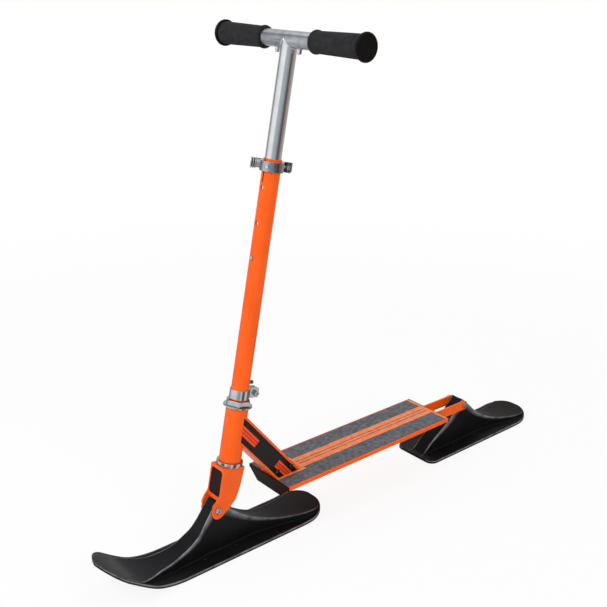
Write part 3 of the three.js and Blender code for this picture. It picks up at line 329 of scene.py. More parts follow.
def grit_tape():
    """Blue-grey grit with salmon stripes and border printed on it."""
    finish = Finish("grit_tape", **DULL)
    sparkle = finish.spread(finish.cells(720), 0.1, 0.75)
    mottle = finish.spread(finish.grain(150, 4), 0.34, 0.66)
    stone = finish.mixed(mottle, shade(88, 89, 94), shade(128, 129, 133))
    stone = finish.mixed(0.45 * sparkle, stone, shade(52, 54, 60))
    ahead = finish.along((1, 0, 0))
    across = finish.along((0, 1, 0))
    marks = stripe_marks(across, TAPE_STRIPE_HALF, TAPE_STRIPE_GAP, 0.5)
    stripes = marks * (1 - ahead.over(TAPE_STRIPE_FRONT, 0.6))
    beside = 1 - across.size().over(TAPE_BORDER_HALF, 0.6)
    border = ahead.over(TAPE_BORDER_FRONT, 0.6) * beside
    tail = 1 - ahead.over(TAPE_TAIL_BAND, 0.6)
    print_share = finish.maths("MINIMUM", stripes + border + tail, 1)
    salmon = finish.mixed(mottle, shade(242, 122, 68), shade(252, 152, 104))
    finish.feed("Base Color", finish.mixed(print_share, stone, salmon))
    finish.feed("Roughness", 0.62 + 0.25 * finish.grain(900, 2))
    height = finish.grain(1300, 3) + 0.6 * sparkle
    finish.raised(height, 0.22)
    return finish.material


def polished_aluminium(name, axis_turn, dark, light, haze):
    """Bright turned or drawn metal: long faint polishing lines along one axis."""
    finish = Finish(name, **METAL)
    lines = finish.grain(60, 3, finish.laid(turn=axis_turn, stretch=(30, 30, 0.6)))
    cloud = finish.grain(45, 3)
    tone = finish.mixed(finish.spread(cloud, 0.3, 0.7), dark, light)
    finish.feed("Base Color", tone)
    finish.feed("Roughness", haze + 0.06 * lines + 0.03 * cloud)
    finish.raised(lines, 0.006)
    return finish.material


def handlebar_metal():
    """Polished stem with lines along it, and a greyer cross tube brushed along its own axis."""
    finish = Finish("polished_aluminium", **METAL)
    ahead = finish.along(STEER_FRONT, BAR_CENTRE)
    above = finish.along(STEER_UP, BAR_CENTRE)
    crossing = 1 - (ahead * ahead + above * above).over(CROSSING_REACH_SQUARED, 6)
    drawn = finish.grain(60, 3, finish.laid(turn=(0, LEAN, 0), stretch=(30, 30, 0.6)))
    brushed = finish.grain(60, 3, finish.laid(stretch=(24, 0.7, 24)))
    cloud = finish.spread(finish.grain(45, 3), 0.3, 0.7)
    patch = finish.spread(finish.grain(70, 2), 0.35, 0.65)
    stem = finish.mixed(cloud, shade(216, 218, 221), shade(226, 228, 230))
    tube = finish.mixed(patch, shade(178, 181, 184), shade(202, 204, 207))
    finish.feed("Base Color", finish.mixed(crossing, stem, tube))
    lines = drawn + crossing * (brushed - drawn)
    finish.feed("Roughness", 0.07 + 0.06 * lines + 0.03 * cloud + 0.12 * crossing)
    finish.raised(lines, 0.008)
    return finish.material


def ribbed_nut_metal():
    """Turned aluminium ribs, with painted shade in the grooves between them."""
    finish = Finish("ribbed_aluminium", **METAL)
    run = finish.along(NUT_AXIS, NUT_CENTRE)
    groove = run.between(*NUT_OUTER_GROOVE, 0.2) + run.between(*NUT_INNER_GROOVE, 0.2)
    cloud = finish.spread(finish.grain(200, 3), 0.3, 0.7)
    rib = finish.mixed(cloud, shade(176, 178, 181), shade(208, 209, 211))
    # Painted shade: the grooves are near black, and their surface is rougher.
    finish.feed("Base Color", finish.mixed(groove, rib, shade(34, 34, 36)))
    finish.feed("Roughness", 0.16 + 0.1 * cloud + 0.2 * groove)
    finish.raised(finish.grain(900, 2), 0.01)
    return finish.material


def satin_tube():
    """Satin aluminium with fine rings turned round the bar's axis."""
    finish = Finish("satin_aluminium", **METAL)
    rings = finish.grain(55, 3, finish.laid(stretch=(0.6, 40, 0.6)))
    cloud = finish.spread(finish.grain(38, 3), 0.3, 0.7)
    tone = finish.mixed(cloud, shade(172, 176, 181), shade(188, 191, 195))
    finish.feed("Base Color", tone)
    finish.feed("Roughness", 0.3 + 0.12 * rings)
    finish.raised(rings, 0.008)
    return finish.material


def plated_steel(name, dark, light, gloss):
    """Zinc plate: a fine mottle of lighter and darker patches."""
    finish = Finish(name, **METAL)
    mottle = finish.spread(finish.grain(420, 4), 0.34, 0.66)
    finish.feed("Base Color", finish.mixed(mottle, dark, light))
    finish.feed("Roughness", gloss + 0.12 * mottle)
    finish.raised(finish.grain(1100, 2), 0.012)
    return finish.material


def moulded_plastic(name, dark, light, gloss, grain_size, depth):
    """Injection-moulded plastic: pebbled grain, flow clouds and dull handling patches."""
    finish = Finish(name, **DULLER)
    cloud = finish.spread(finish.grain(16, 4), 0.36, 0.64)
    fine = finish.grain(grain_size, 2)
    finish.feed("Base Color", finish.mixed(cloud, dark, light))
    finish.feed("Roughness", gloss + 0.1 * cloud + 0.06 * fine)
    finish.raised(fine, depth)
    return finish.material


def ski_plastic():
    """Ski moulding: satin black with pebbled grain; rims and spine edges are glossier and carry a
    pale painted highlight in patches.
    """
    finish = Finish("ski_plastic", **DULLER)
    cloud = finish.spread(finish.grain(13, 4), 0.36, 0.64)
    fine = finish.grain(850, 2)
    flow = finish.grain(90, 2, finish.laid(stretch=(0.12, 1, 1)))
    tone = finish.mixed(cloud, shade(12, 12, 14), shade(20, 20, 22))
    # The rim attribute marks the rims and spine edges, where a pale painted highlight, in patches,
    # is mixed into the black.
    rim = finish.node("ShaderNodeAttribute", {"attribute_name": "rim"}).outputs["Fac"]
    glint_patches = finish.spread(finish.grain(55, 4), 0.3, 0.6)
    painted_glint = Value(finish, rim) * (0.35 + 0.65 * glint_patches)
    finish.feed("Base Color", finish.mixed(0.85 * painted_glint, tone, shade(150, 151, 156)))
    finish.feed("Roughness", 0.36 + 0.1 * cloud + 0.06 * fine - 0.14 * painted_glint)
    finish.raised(fine + 0.8 * flow, 0.05)
    return finish.material


def foam_rubber():
    """Closed-cell foam: matte, with open pores at the skin that carry painted shade."""
    finish = Finish("foam_rubber", **DULL)
    pores = finish.spread(finish.cells(1500), 0.15, 0.6)
    soft = finish.spread(finish.grain(120, 4), 0.35, 0.65)
    tone = finish.mixed(soft, shade(34, 33, 35), shade(47, 46, 49))
    # Painted shade: the pores' dents are darkened halfway to near black.
    tone = finish.mixed(0.5 * (1 - pores), tone, shade(18, 17, 18))
    finish.feed("Base Color", tone)
    finish.feed("Roughness", 0.82 + 0.12 * soft)
    finish.raised(pores + 0.8 * finish.grain(620, 3), 0.16)
    return finish.material


LEAN = math.atan2(-STEER_UP.x, STEER_UP.z)
ORANGE = orange_powder_coat()
NECK = neck_panel_coat()
GRIT = grit_tape()
STEM = handlebar_metal()
RINGS = polished_aluminium(
    "turned_aluminium", (math.pi / 2, 0, 0), shade(176, 179, 183), shade(204, 206, 209), 0.1
)
SATIN = satin_tube()
ZINC = plated_steel("zinc_steel", shade(178, 181, 185), shade(212, 214, 216), 0.2)
RIVET = plated_steel("dark_rivet_steel", shade(58, 61, 74), shade(88, 92, 106), 0.28)
CLAMP = polished_aluminium(
    "clamp_aluminium", (0, LEAN, 0), shade(146, 148, 151), shade(190, 191, 192), 0.06
)
RIBBED = ribbed_nut_metal()
DARK_ZINC = plated_steel("dark_zinc_steel", shade(92, 93, 97), shade(136, 137, 141), 0.26)
SPRING = plated_steel("spring_steel", shade(120, 122, 126), shade(150, 151, 154), 0.3)
SKI = ski_plastic()
BLACK = moulded_plastic("black_plastic", shade(24, 6, 5), shade(32, 11, 9), 0.45, 1400, 0.06)
SOLE = moulded_plastic("sole_plastic", shade(12, 12, 14), shade(20, 20, 22), 0.4, 1200, 0.05)
CAP = moulded_plastic("cap_rubber", shade(9, 7, 7), shade(17, 14, 14), 0.34, 700, 0.08)
FOAM = foam_rubber()


# Forms taken from the frame

def bare_mesh(name, form):
    """Makes a mesh of a bmesh form and shades it smooth."""
    mesh = bpy.data.meshes.new(name)
    form.to_mesh(mesh)
    form.free()
    if "custom_normal" in mesh.attributes:
        mesh.attributes.remove(mesh.attributes["custom_normal"])
    mesh.polygons.foreach_set("use_smooth", [True] * len(mesh.polygons))
    return mesh


def place_piece(name, mesh, material, body):
    """Links a finished mesh as a piece that rides on a body."""
    mesh.materials.clear()
    mesh.materials.append(material)
    piece = bpy.data.objects.new(name, mesh)
    bpy.context.scene.collection.objects.link(piece)
    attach(piece, body)
    return piece


def shade_evenly(piece):
    """Lets the big faces lead the shading, so that flats stay flat and round walls stay round."""
    even = piece.modifiers.new("even_shading", "WEIGHTED_NORMAL")
    even.keep_sharp = True


WELD_REACH = 2e-6
FLAT_ANGLE = math.radians(0.3)
CREASE_ANGLE = math.radians(34)


def eased(node, name, material, slot, ease):
    """Welds a copy of a node, eases its corners by a width in millimetres and places it."""
    form = bmesh.new()
    form.from_mesh(frame["nodes"][node].data)
    bmesh.ops.remove_doubles(form, verts=form.verts, dist=WELD_REACH)
    bmesh.ops.dissolve_limit(form, angle_limit=FLAT_ANGLE, verts=form.verts, edges=form.edges)
    mesh = bare_mesh(name, form)
    mesh.set_sharp_from_angle(angle=CREASE_ANGLE)
    piece = place_piece(name, mesh, material, frame["nodes"][node]["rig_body"])
    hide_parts(node)
    if ease:
        corner = piece.modifiers.new("eased_corners", "BEVEL")
        corner.width = ease * MM
        corner.segments = 2
        corner.limit_method = "ANGLE"
        corner.angle_limit = CREASE_ANGLE
        corner.use_clamp_overlap = False
        corner.miter_outer = "MITER_ARC"
        shade_evenly(piece)


# Node, piece, finish, slot and width of the eased corner in millimetres
EASED = [
    ("fork", "fork_painted", ORANGE, "orange_paint", 0.4),
    ("fork_insert", "fork_window_insert", BLACK, "black_plastic", 0.3),
    ("head_tube", "head_tube_painted", ORANGE, "orange_paint", 0.3),
    ("outer_tube", "outer_tube_painted", ORANGE, "orange_paint", 0.2),
    ("neck", "neck_painted", NECK, "orange_paint", 0.5),
    ("neck_bracket", "neck_inner_bracket", BLACK, "satin_aluminium", 0.2),
    ("neck_rivet_front", "neck_rivet_front_head", RIVET, "satin_aluminium", 0.1),
    ("neck_rivet_rear", "neck_rivet_rear_head", RIVET, "satin_aluminium", 0.1),
    ("deck", "deck_painted", ORANGE, "orange_paint", 0.4),
    ("deck_front_cap", "deck_front_cap_moulded", BLACK, "black_plastic", 0.4),
    ("deck_rear_cap", "deck_rear_cap_moulded", BLACK, "black_plastic", 0.4),
    ("grip_tape", "grip_tape_printed", GRIT, "grit", 0),
    ("left_rear_arm", "left_rear_arm_painted", ORANGE, "orange_paint", 0.4),
    ("right_rear_arm", "right_rear_arm_painted", ORANGE, "orange_paint", 0.4),
    ("crown_race", "crown_race_turned", RINGS, "zinc_steel", 0.15),
    ("lower_cup", "lower_cup_turned", RINGS, "polished_aluminium", 0.2),
    ("top_washer", "top_washer_turned", RINGS, "polished_aluminium", 0.2),
    ("locknut", "locknut_polished", RINGS, "polished_aluminium", 0.2),
    ("pinch_collar", "pinch_collar_polished", RINGS, "polished_aluminium", 0.2),
    ("pinch_bolt", "pinch_bolt_plated", ZINC, "zinc_steel", 0.1),
    ("pinch_nut", "pinch_nut_plated", ZINC, "zinc_steel", 0.1),
    ("stop_screw", "stop_screw_plated", DARK_ZINC, "zinc_steel", 0.1),
    ("clamp_collar", "clamp_collar_polished", CLAMP, "polished_aluminium", 0.5),
    ("clamp_boss", "clamp_boss_plated", ZINC, "zinc_steel", 0.15),
    ("clamp_skewer", "clamp_skewer_plated", ZINC, "zinc_steel", 0.1),
    ("clamp_spacer", "clamp_spacer_satin", SATIN, "satin_aluminium", 0.15),
    ("clamp_nut", "clamp_nut_satin", RIBBED, "satin_aluminium", 0.15),
    ("clamp_lever", "clamp_lever_plated", DARK_ZINC, "zinc_steel", 0.3),
    ("clamp_pin", "clamp_pin_plated", ZINC, "zinc_steel", 0.1),
    ("handlebar", "handlebar_polished", STEM, "polished_aluminium", 0.2),
    ("left_handle_tube", "left_handle_tube_satin", SATIN, "satin_aluminium", 0.1),
    ("right_handle_tube", "right_handle_tube_satin", SATIN, "satin_aluminium", 0.1),
    ("left_end_cap", "left_end_cap_moulded", CAP, "foam_rubber", 0.5),
    ("right_end_cap", "right_end_cap_moulded", CAP, "foam_rubber", 0.5),
    ("height_button", "height_button_plated", ZINC, "zinc_steel", 0.1),
    ("left_handle_button", "left_handle_button_plated", ZINC, "zinc_steel", 0.1),
    ("right_handle_button", "right_handle_button_plated", ZINC, "zinc_steel", 0.1),
    ("front_axle_bolt", "front_axle_bolt_plated", ZINC, "zinc_steel", 0.15),
    ("front_axle_nut", "front_axle_nut_plated", ZINC, "zinc_steel", 0.15),
    ("rear_axle_bolt", "rear_axle_bolt_plated", ZINC, "zinc_steel", 0.15),
    ("rear_axle_nut", "rear_axle_nut_plated", ZINC, "zinc_steel", 0.15),
    ("front_ski_sole", "front_ski_sole_moulded", SOLE, "black_plastic", 0.2),
    ("rear_ski_sole", "rear_ski_sole_moulded", SOLE, "black_plastic", 0.2),
    ("front_ski_bush", "front_ski_bush_moulded", BLACK, "black_plastic", 0.15),
    ("rear_ski_bush", "rear_ski_bush_moulded", BLACK, "black_plastic", 0.15),
]
for row in EASED:
    eased(*row)

INSIDE = (
    "lower_bearing", "upper_bearing", "height_spring", "left_handle_spring", "right_handle_spring",
)
for node in INSIDE:
    inner = frame["nodes"][node].data
    inner.materials.clear()
    inner.materials.append(SPRING)


# Skis, in millimetres. TAIL_RISE and NOSE_RISE are the length and the height of each upturn.

SPINE_TOP = 94
SKI_HALF = 50.5
PLATE = 4.6
RIM_HEIGHT = 5.6
LIP_WIDTH = 2.2
LIP_SLOPE = 1.2
EDGE_ROUND = 1.4
RIM_ROUND = 0.5
SPINE_DRAFT = 3
SPINE_EDGE = 1.1
SPINE_DISH = 0.9
SPINE_LEAST = 0.5
BROW_WIDTH = 0.8
# Where the painted highlight on the spine's edge starts to fade towards the tail, over what length,
# and the share it loses
SHINE_FADE_FROM = 70
SHINE_FADE_LENGTH = 60
SHINE_FADE_SHARE = 0.6
FILLET = 3
TAIL_CORNER = 43
NOSE_CORNER = 16
TAIL_RISE = (62, 11)
NOSE_RISE = (132, 65)
NOSE_ROUND = 36
NOSE_POWERS = (1.9, 0.75)
TIP_HALF = 1.2
SOLE_HALF = 30.3
SOLE_SPAN = (-118, 84)
SOLE_CORNER = 8
SOLE_RECESS = 2.3

# Shares of the nose's length and height, then shares of a ski's length, half width and spine top
NOSE_RISE_SHARES = [
    (0, 0), (0.19, 0.05), (0.38, 0.165), (0.57, 0.4), (0.72, 0.62), (0.91, 0.88), (1, 1),
]
NOSE_SPINE_SHARES = [
    (0, 0.25, 1), (0.044, 0.25, 0.872), (0.082, 0.25, 0.745), (0.123, 0.262, 0.617),
    (0.169, 0.3, 0.489), (0.256, 0.335, 0.362), (0.313, 0.345, 0.298), (0.42, 0.41, 0.236),
    (0.54, 0.5, 0.222), (0.649, 0.7, 0.26), (0.77, 0.88, 0.37), (1, 0.96, 0.75),
]
TAIL_SPINE_SHARES = [
    (0, 0.277, 1), (0.093, 0.277, 0.83), (0.228, 0.27, 0.564), (0.358, 0.31, 0.378),
    (0.493, 0.42, 0.255), (0.623, 0.54, 0.19), (0.805, 0.72, 0.16), (1, 0.8, 0.18),
]
SQUARE_SPINE_SHARES = [
    (0, 0.277, 1), (0.12, 0.277, 0.83), (0.374, 0.29, 0.553), (0.679, 0.295, 0.298),
    (0.83, 0.3, 0.13), (0.92, 0.31, 0.04), (1, 0.32, 0.03),
]


def smooth_line(points, samples=40):
    """A smooth function through points of (place, value), in rising order of place."""
    track = []
    last = len(points) - 1
    for step in range(samples * len(points) + 1):
        spot = last * step / (samples * len(points))
        index = min(int(spot), last - 1)
        near = [points[min(max(index + shift, 0), last)] for shift in (-1, 0, 1, 2)]
        track.append(tuple(catmull_rom(spot - index, *column) for column in zip(*near)))

    def value(place):
        if place <= track[0][0]:
            return track[0][1]
        for before, after in zip(track, track[1:]):
            if place <= after[0]:
                share = (place - before[0]) / (after[0] - before[0])
                return before[1] + share * (after[1] - before[1])
        return track[-1][1]
    return value


def catmull_rom(share, a, b, c, d):
    """A point between b and c on a smooth curve through all four numbers."""
    pull_b, pull_c = (c - a) / 2, (d - b) / 2
    return (
        (2 * b - 2 * c + pull_b + pull_c) * share ** 3
        + (-3 * b + 3 * c - 2 * pull_b - pull_c) * share ** 2
        + pull_b * share + b
    )


def share_line(table, column, reach, size):
    """A smooth line through one column of a table of shares, over a reach and to a size."""
    return smooth_line([(row[0] * reach, row[column] * size) for row in table])


class SkiShape:
    """How wide and high a ski and its spine are at each place x ahead of its pivot."""

    def __init__(self, front, tail, upturned):
        self.front, self.tail, self.upturned = front, tail, upturned
        ahead = NOSE_SPINE_SHARES if upturned else SQUARE_SPINE_SHARES
        self.nose = share_line(NOSE_RISE_SHARES, 1, *NOSE_RISE)
        self.front_half = share_line(ahead, 1, front, SKI_HALF)
        self.front_top = share_line(ahead, 2, front, SPINE_TOP)
        self.tail_half = share_line(TAIL_SPINE_SHARES, 1, tail, SKI_HALF)
        self.tail_top = share_line(TAIL_SPINE_SHARES, 2, tail, SPINE_TOP)

    def half(self, x):
        if x < 0:
            return rounded(-x - (self.tail - TAIL_CORNER), TAIL_CORNER, SKI_HALF)
        if not self.upturned:
            return rounded(x - (self.front - NOSE_CORNER), NOSE_CORNER, SKI_HALF)
        share = max(0, (x - (self.front - NOSE_ROUND)) / NOSE_ROUND)
        inner, outer = NOSE_POWERS
        return max(TIP_HALF, SKI_HALF * max(0, 1 - share ** inner) ** outer)

    def base(self, x):
        if x < 0:
            return TAIL_RISE[1] * max(0, (-x - (self.tail - TAIL_RISE[0])) / TAIL_RISE[0]) ** 2
        return self.nose(max(0, x - (self.front - NOSE_RISE[0]))) if self.upturned else 0

    def spine_half(self, x):
        return self.tail_half(-x) if x < 0 else self.front_half(x)

    def spine_top(self, x):
        return self.tail_top(-x) if x < 0 else self.front_top(x)


def rounded(past, radius, half):
    """Half of a width whose end corner is rounded, some way past where the corner begins."""
    inside = min(max(past, 0), radius)
    return half - radius + math.sqrt(radius * radius - inside * inside)


def arc(centre, radii, start, end, steps=4):
    """Points on a quarter turn, from one angle in degrees to another."""
    turns = [math.radians(start + (end - start) * step / steps) for step in range(steps + 1)]
    return [
        (centre[0] + radii[0] * math.cos(turn), centre[1] + radii[1] * math.sin(turn))
        for turn in turns
    ]


def ski_half_section(shape, x):
    """Points (y, z, painted highlight) from the middle of the base round the rim to the middle of
    the spine.
    """
    half, base = shape.half(x), shape.base(x)
    narrow = half / SKI_HALF
    plate = base + PLATE
    top = max(shape.spine_top(x), plate + SPINE_LEAST)
    rise = (top - plate) / (SPINE_TOP - PLATE)
    lip = half - LIP_WIDTH * narrow
    lip_foot = lip - LIP_SLOPE * narrow
    fillet = min(FILLET, (top - plate) / 2) * narrow
    edge = min(SPINE_EDGE, (top - plate) / 3) * narrow
    ribbon = min(shape.spine_half(x), lip_foot - (SPINE_EDGE + FILLET) * narrow)
    foot = min(ribbon + SPINE_DRAFT * rise, lip_foot - (FILLET + 0.01 * half) * narrow)
    corner, crest = EDGE_ROUND * narrow, RIM_ROUND * narrow
    sunk = SOLE_SPAN[0] < x < SOLE_SPAN[1]
    end = max(SOLE_SPAN[0] + SOLE_CORNER - x, x - (SOLE_SPAN[1] - SOLE_CORNER))
    sole = rounded(end, SOLE_CORNER, SOLE_HALF) if sunk else 0.6 * (half - corner)
    floor = base + (SOLE_RECESS if sunk else 0)
    dish = min(SPINE_DISH, 0.06 * (top - plate)) * narrow
    brow = max(0.4 * ribbon, ribbon - edge - BROW_WIDTH * narrow)
    path = [(0, floor, 0), (sole / 2, floor, 0), (sole, floor, 0), (sole, base, 0)]
    path += [(*p, 0) for p in arc((half - corner, base + corner), (corner, corner), -90, 0)]
    path += [(half, base + RIM_HEIGHT / 2, 0)]
    # The rim's crest carries the painted highlight: fully on its outer round, 0.3 of it on its
    # inner round.
    outer = arc((half - crest, base + RIM_HEIGHT - crest), (crest, crest), 0, 90, 3)
    path += [(*p, 1) for p in outer]
    inner = arc((lip + crest, base + RIM_HEIGHT - crest), (crest, crest), 90, 180, 3)
    path += [(*p, 0.3) for p in inner]
    path += [(lip_foot, plate, 0), (0.6 * lip_foot + 0.4 * (foot + fillet), plate, 0)]
    path += [(*p, 0) for p in arc((foot + fillet, plate + fillet), (fillet, fillet), 270, 180, 5)]
    wall_foot, wall_height = plate + fillet, top - edge - plate - fillet
    for share in (0.25, 0.5, 0.75):
        path.append((foot + share * (ribbon - foot), wall_foot + share * wall_height, 0))
    # The spine's edge carries the painted highlight too, fading towards the tail.
    faded = min(max((-x - SHINE_FADE_FROM) / SHINE_FADE_LENGTH, 0), 1)
    shine = 1 - SHINE_FADE_SHARE * faded
    path += [(*p, shine) for p in arc((ribbon - edge, top - edge), (edge, edge), 0, 90, 4)]
    path += [(brow, top - 0.15 * dish, 0), (0.8 * brow, top - 0.8 * dish, 0)]
    path += [(0.4 * brow, top - dish, 0), (0, top - dish, 0)]
    return path


def even_shares(count):
    """That many even shares of a length, from 0 to one step short of 1."""
    return [step / count for step in range(count)]


def ski_stations(shape):
    """Places along a ski, closer together in its rounded ends."""
    tail_end, nose_end = -shape.tail + TAIL_CORNER, shape.front - NOSE_ROUND
    places = [-shape.tail + TAIL_CORNER * share ** 2 for share in even_shares(18)]
    places += [tail_end * (1 - share) for share in even_shares(36)]
    places += [nose_end * (0.5 * share + 0.5 * share ** 2) for share in even_shares(46)]
    places += [nose_end + NOSE_ROUND * (1 - (1 - share) ** 2) for share in even_shares(26)]
    places += [shape.front]
    for end, inward in ((SOLE_SPAN[0], 1), (SOLE_SPAN[1], -1)):
        places += [end - 0.02 * inward, end + 0.02 * inward]
        places += [end + inward * SOLE_CORNER * share for share in (0.06, 0.2, 0.42, 0.7, 1)]
    return sorted(places)


def ski_moulding(name, node, body, pivot_x, shape):
    """Draws a grid round the ski's sections, so that its skin is one smooth moulding."""
    places = ski_stations(shape)
    around = len(ski_half_section(shape, 0)) * 2
    form = bmesh.new()
    bmesh.ops.create_grid(form, x_segments=len(places) - 1, y_segments=around - 1, size=1)
    # The rim layer holds each vertex's share of the painted highlight.
    rim = form.verts.layers.float.new("rim")
    sections = []
    for x in places:
        right = ski_half_section(shape, x)
        sections.append(right + [(-y, z, painted_glint) for y, z, painted_glint in reversed(right)])
    for vert in form.verts:
        station = round((vert.co.x + 1) / 2 * (len(places) - 1))
        spot = round((vert.co.y + 1) / 2 * (around - 1))
        y, z, painted_glint = sections[station][spot]
        vert.co = (pivot_x + places[station] * MM, y * MM, z * MM)
        vert[rim] = painted_glint
    bmesh.ops.remove_doubles(form, verts=form.verts, dist=WELD_REACH)
    ends = [edge for edge in form.edges if edge.is_boundary]
    bmesh.ops.edgeloop_fill(form, edges=ends)
    bmesh.ops.recalc_face_normals(form, faces=form.faces)
    mesh = bare_mesh(name, form)
    mesh.set_sharp_from_angle(angle=math.radians(48))
    piece = place_piece(name, mesh, SKI, body)
    shade_evenly(piece)
    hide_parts(node)


ski_moulding(
    "front_ski_moulded", "front_ski", "front_ski_assembly", FRONT_PIVOT_X,
    SkiShape(front=222, tail=221, upturned=True),
)
ski_moulding(
    "rear_ski_moulded", "rear_ski", "rear_ski_assembly", REAR_PIVOT_X,
    SkiShape(front=125, tail=194, upturned=False),
)


# Foam grips, with their profile as reach along the bar and radius in millimetres

GRIP_PROFILE = [
    (60.2, 11.35), (60.0, 15.4), (60.4, 16.6), (61.4, 17.6), (62.8, 18.05), (64.2, 17.9),
    (65.6, 17.2), (66.6, 16.3), (67.4, 16.05), (68.4, 16.35), (70.5, 16.6), (80, 16.75),
    (95, 17.0), (110, 17.25), (125, 17.5), (140, 17.75), (152, 17.95), (156.6, 18.05),
    (157.3, 17.7), (158.0, 18.05), (161.6, 18.15), (162.3, 17.8), (163.0, 18.15),
    (165.2, 18.2), (165.6, 17.6), (165.6, 11.35),
]


def foam_grip(side):
    """A lathed sleeve: rolled inner lip, a groove, a slightly flared barrel and two end grooves."""
    form = bmesh.new()
    ring = []
    for reach, radius in GRIP_PROFILE:
        corner = (BAR_CENTRE.x, side * reach * MM, BAR_CENTRE.z + radius * MM)
        ring.append(form.verts.new(corner))
    edges = [form.edges.new(pair) for pair in zip(ring, ring[1:])]
    edges.append(form.edges.new((ring[-1], ring[0])))
    bmesh.ops.spin(
        form, geom=ring + edges, cent=BAR_CENTRE, axis=(0, 1, 0),
        angle=math.tau, steps=56, use_merge=True,
    )
    bmesh.ops.remove_doubles(form, verts=form.verts, dist=1e-6)
    bmesh.ops.recalc_face_normals(form, faces=form.faces)
    name = "left_grip_foam" if side > 0 else "right_grip_foam"
    mesh = bare_mesh(name, form)
    mesh.set_sharp_from_angle(angle=math.radians(60))
    body = "left_handle" if side > 0 else "right_handle"
    piece = place_piece(name, mesh, FOAM, body)
    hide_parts("left_grip" if side > 0 else "right_grip")


foam_grip(1)
foam_grip(-1)


# Weld bead where the stem meets the cross tube

BEAD_RADIUS = 1.5
BEAD_RIPPLE = 0.12


def weld_bead(name, path, material, body):
    """A closed bead of weld along a path, with slight ripples."""
    curve = bpy.data.curves.new(name + "_path", "CURVE")
    curve.dimensions = "3D"
    line = curve.splines.new("POLY")
    line.points.add(len(path) - 1)
    for index, (point, place) in enumerate(zip(line.points, path)):
        point.co = (*place, 1)
        point.radius = 1 + BEAD_RIPPLE * math.sin(index * math.pi / 2)
    line.use_cyclic_u = True
    curve.bevel_depth = BEAD_RADIUS * MM
    curve.bevel_resolution = 3
    made = bpy.data.objects.new(name + "_path", curve)
    bpy.context.scene.collection.objects.link(made)
    bpy.context.view_layer.update()
    mesh = bpy.data.meshes.new_from_object(made)
    bpy.data.objects.remove(made)
    mesh.name = name
    mesh.polygons.foreach_set("use_smooth", [True] * len(mesh.polygons))
    place_piece(name, mesh, material, body)


def stem_bead_path(steps=96):
    """The line where the stem meets the cross tube."""
    path = []
    for step in range(steps):
        angle = math.tau * step / steps
        ahead = STEM_RADIUS * math.cos(angle)
        aside = STEM_RADIUS * math.sin(angle)
        down = math.sqrt(CROSS_TUBE_RADIUS ** 2 - ahead ** 2)
        path.append(BAR_CENTRE + STEER_FRONT * ahead + Vector((0, aside, 0)) - STEER_UP * down)
    return path


weld_bead(
    "handlebar_weld_bead", stem_bead_path(), STEM, "handlebar_assembly"
)


# Camera

CAMERA_PLACE = Vector((1.0554, 1.1550, 0.9570))
CAMERA_RIGHT = Vector((-0.7685, 0.6398, 0)).normalized()
CAMERA_AHEAD = Vector((-0.6000, -0.7205, -0.3480)).normalized()
CAMERA_UP = CAMERA_RIGHT.cross(CAMERA_AHEAD).normalized()
LENS = 55.98
SENSOR_WIDTH = 36


def make_camera():
    data = bpy.data.cameras.new("camera")
    data.lens = LENS
    data.sensor_width = SENSOR_WIDTH
    camera = bpy.data.objects.new("camera", data)
    bpy.context.scene.collection.objects.link(camera)
    turn = Matrix((CAMERA_RIGHT, CAMERA_UP, -CAMERA_AHEAD)).transposed()
    camera.matrix_world = Matrix.Translation(CAMERA_PLACE) @ turn.to_4x4()
    bpy.context.scene.camera = camera


make_camera()


# Studio: soft lamps, rings for the metal to reflect, a pale floor and a white world

def soft_lamp(name, place, target, size, power):
    """A rectangular softbox aimed at a target, with its size in metres and its power in watts."""
    data = bpy.data.lights.new(name, "AREA")
    data.shape = "RECTANGLE"
    data.size, data.size_y = size
    data.energy = power
    lamp = bpy.data.objects.new(name, data)
    bpy.context.scene.collection.objects.link(lamp)
    place, target = Vector(place), Vector(target)
    turn = (target - place).to_track_quat("-Z", "Y").to_matrix().to_4x4()
    lamp.matrix_world = Matrix.Translation(place) @ turn


MIDDLE = Vector((0, 0, 0.35))
soft_lamp("key_softbox", (2.6, -0.3, 2.3), MIDDLE, (1.6, 1.6), 46)
soft_lamp("fill_softbox", (0.4, 3.0, 1.9), MIDDLE, (2.0, 1.6), 32)
soft_lamp("rear_softbox", (-2.4, -1.6, 2.2), MIDDLE, (1.8, 1.4), 20)


def studio_object(name, form, material):
    """Links a form of the studio, which isn't part of the object."""
    mesh = bpy.data.meshes.new(name)
    form.to_mesh(mesh)
    form.free()
    mesh.materials.append(material)
    made = bpy.data.objects.new(name, mesh)
    bpy.context.scene.collection.objects.link(made)
    return made


def reflect_ring(name, centre, near, far, tones):
    """A ring that only reflections see, with tones that change with the bearing from +X to +Y.

    near and far are the reach and height of its two edges, in metres.
    """
    form = bmesh.new()
    corners = [
        form.verts.new(centre + Vector((reach, 0, height))) for reach, height in (near, far)
    ]
    edge = form.edges.new(corners)
    bmesh.ops.spin(
        form, geom=[*corners, edge], cent=centre, axis=(0, 0, 1),
        angle=math.tau, steps=64, use_merge=True,
    )
    finish = Finish(name + "_cloth")
    split = finish.node("ShaderNodeSeparateXYZ", {}, {0: finish.laid(centre)})
    east, north = (Value(finish, split.outputs[axis]) for axis in ("X", "Y"))
    turn = 0.5 + finish.maths("ARCTAN2", north, east) * (1 / math.tau)
    stops = [((bearing + 180) / 360, tone) for bearing, tone in tones]
    cloth = finish.node("ShaderNodeValToRGB", {"stops": stops}, {"Fac": turn})
    glow = finish.node(
        "ShaderNodeEmission", {}, {"Color": cloth.outputs["Color"], "Strength": 1.0}
    )
    finish.tree.links.new(glow.outputs[0], finish.end.inputs["Surface"])
    card = studio_object(name, form, finish.material)
    card.visible_camera = False
    card.visible_diffuse = False
    card.visible_shadow = False
    card.visible_transmission = False


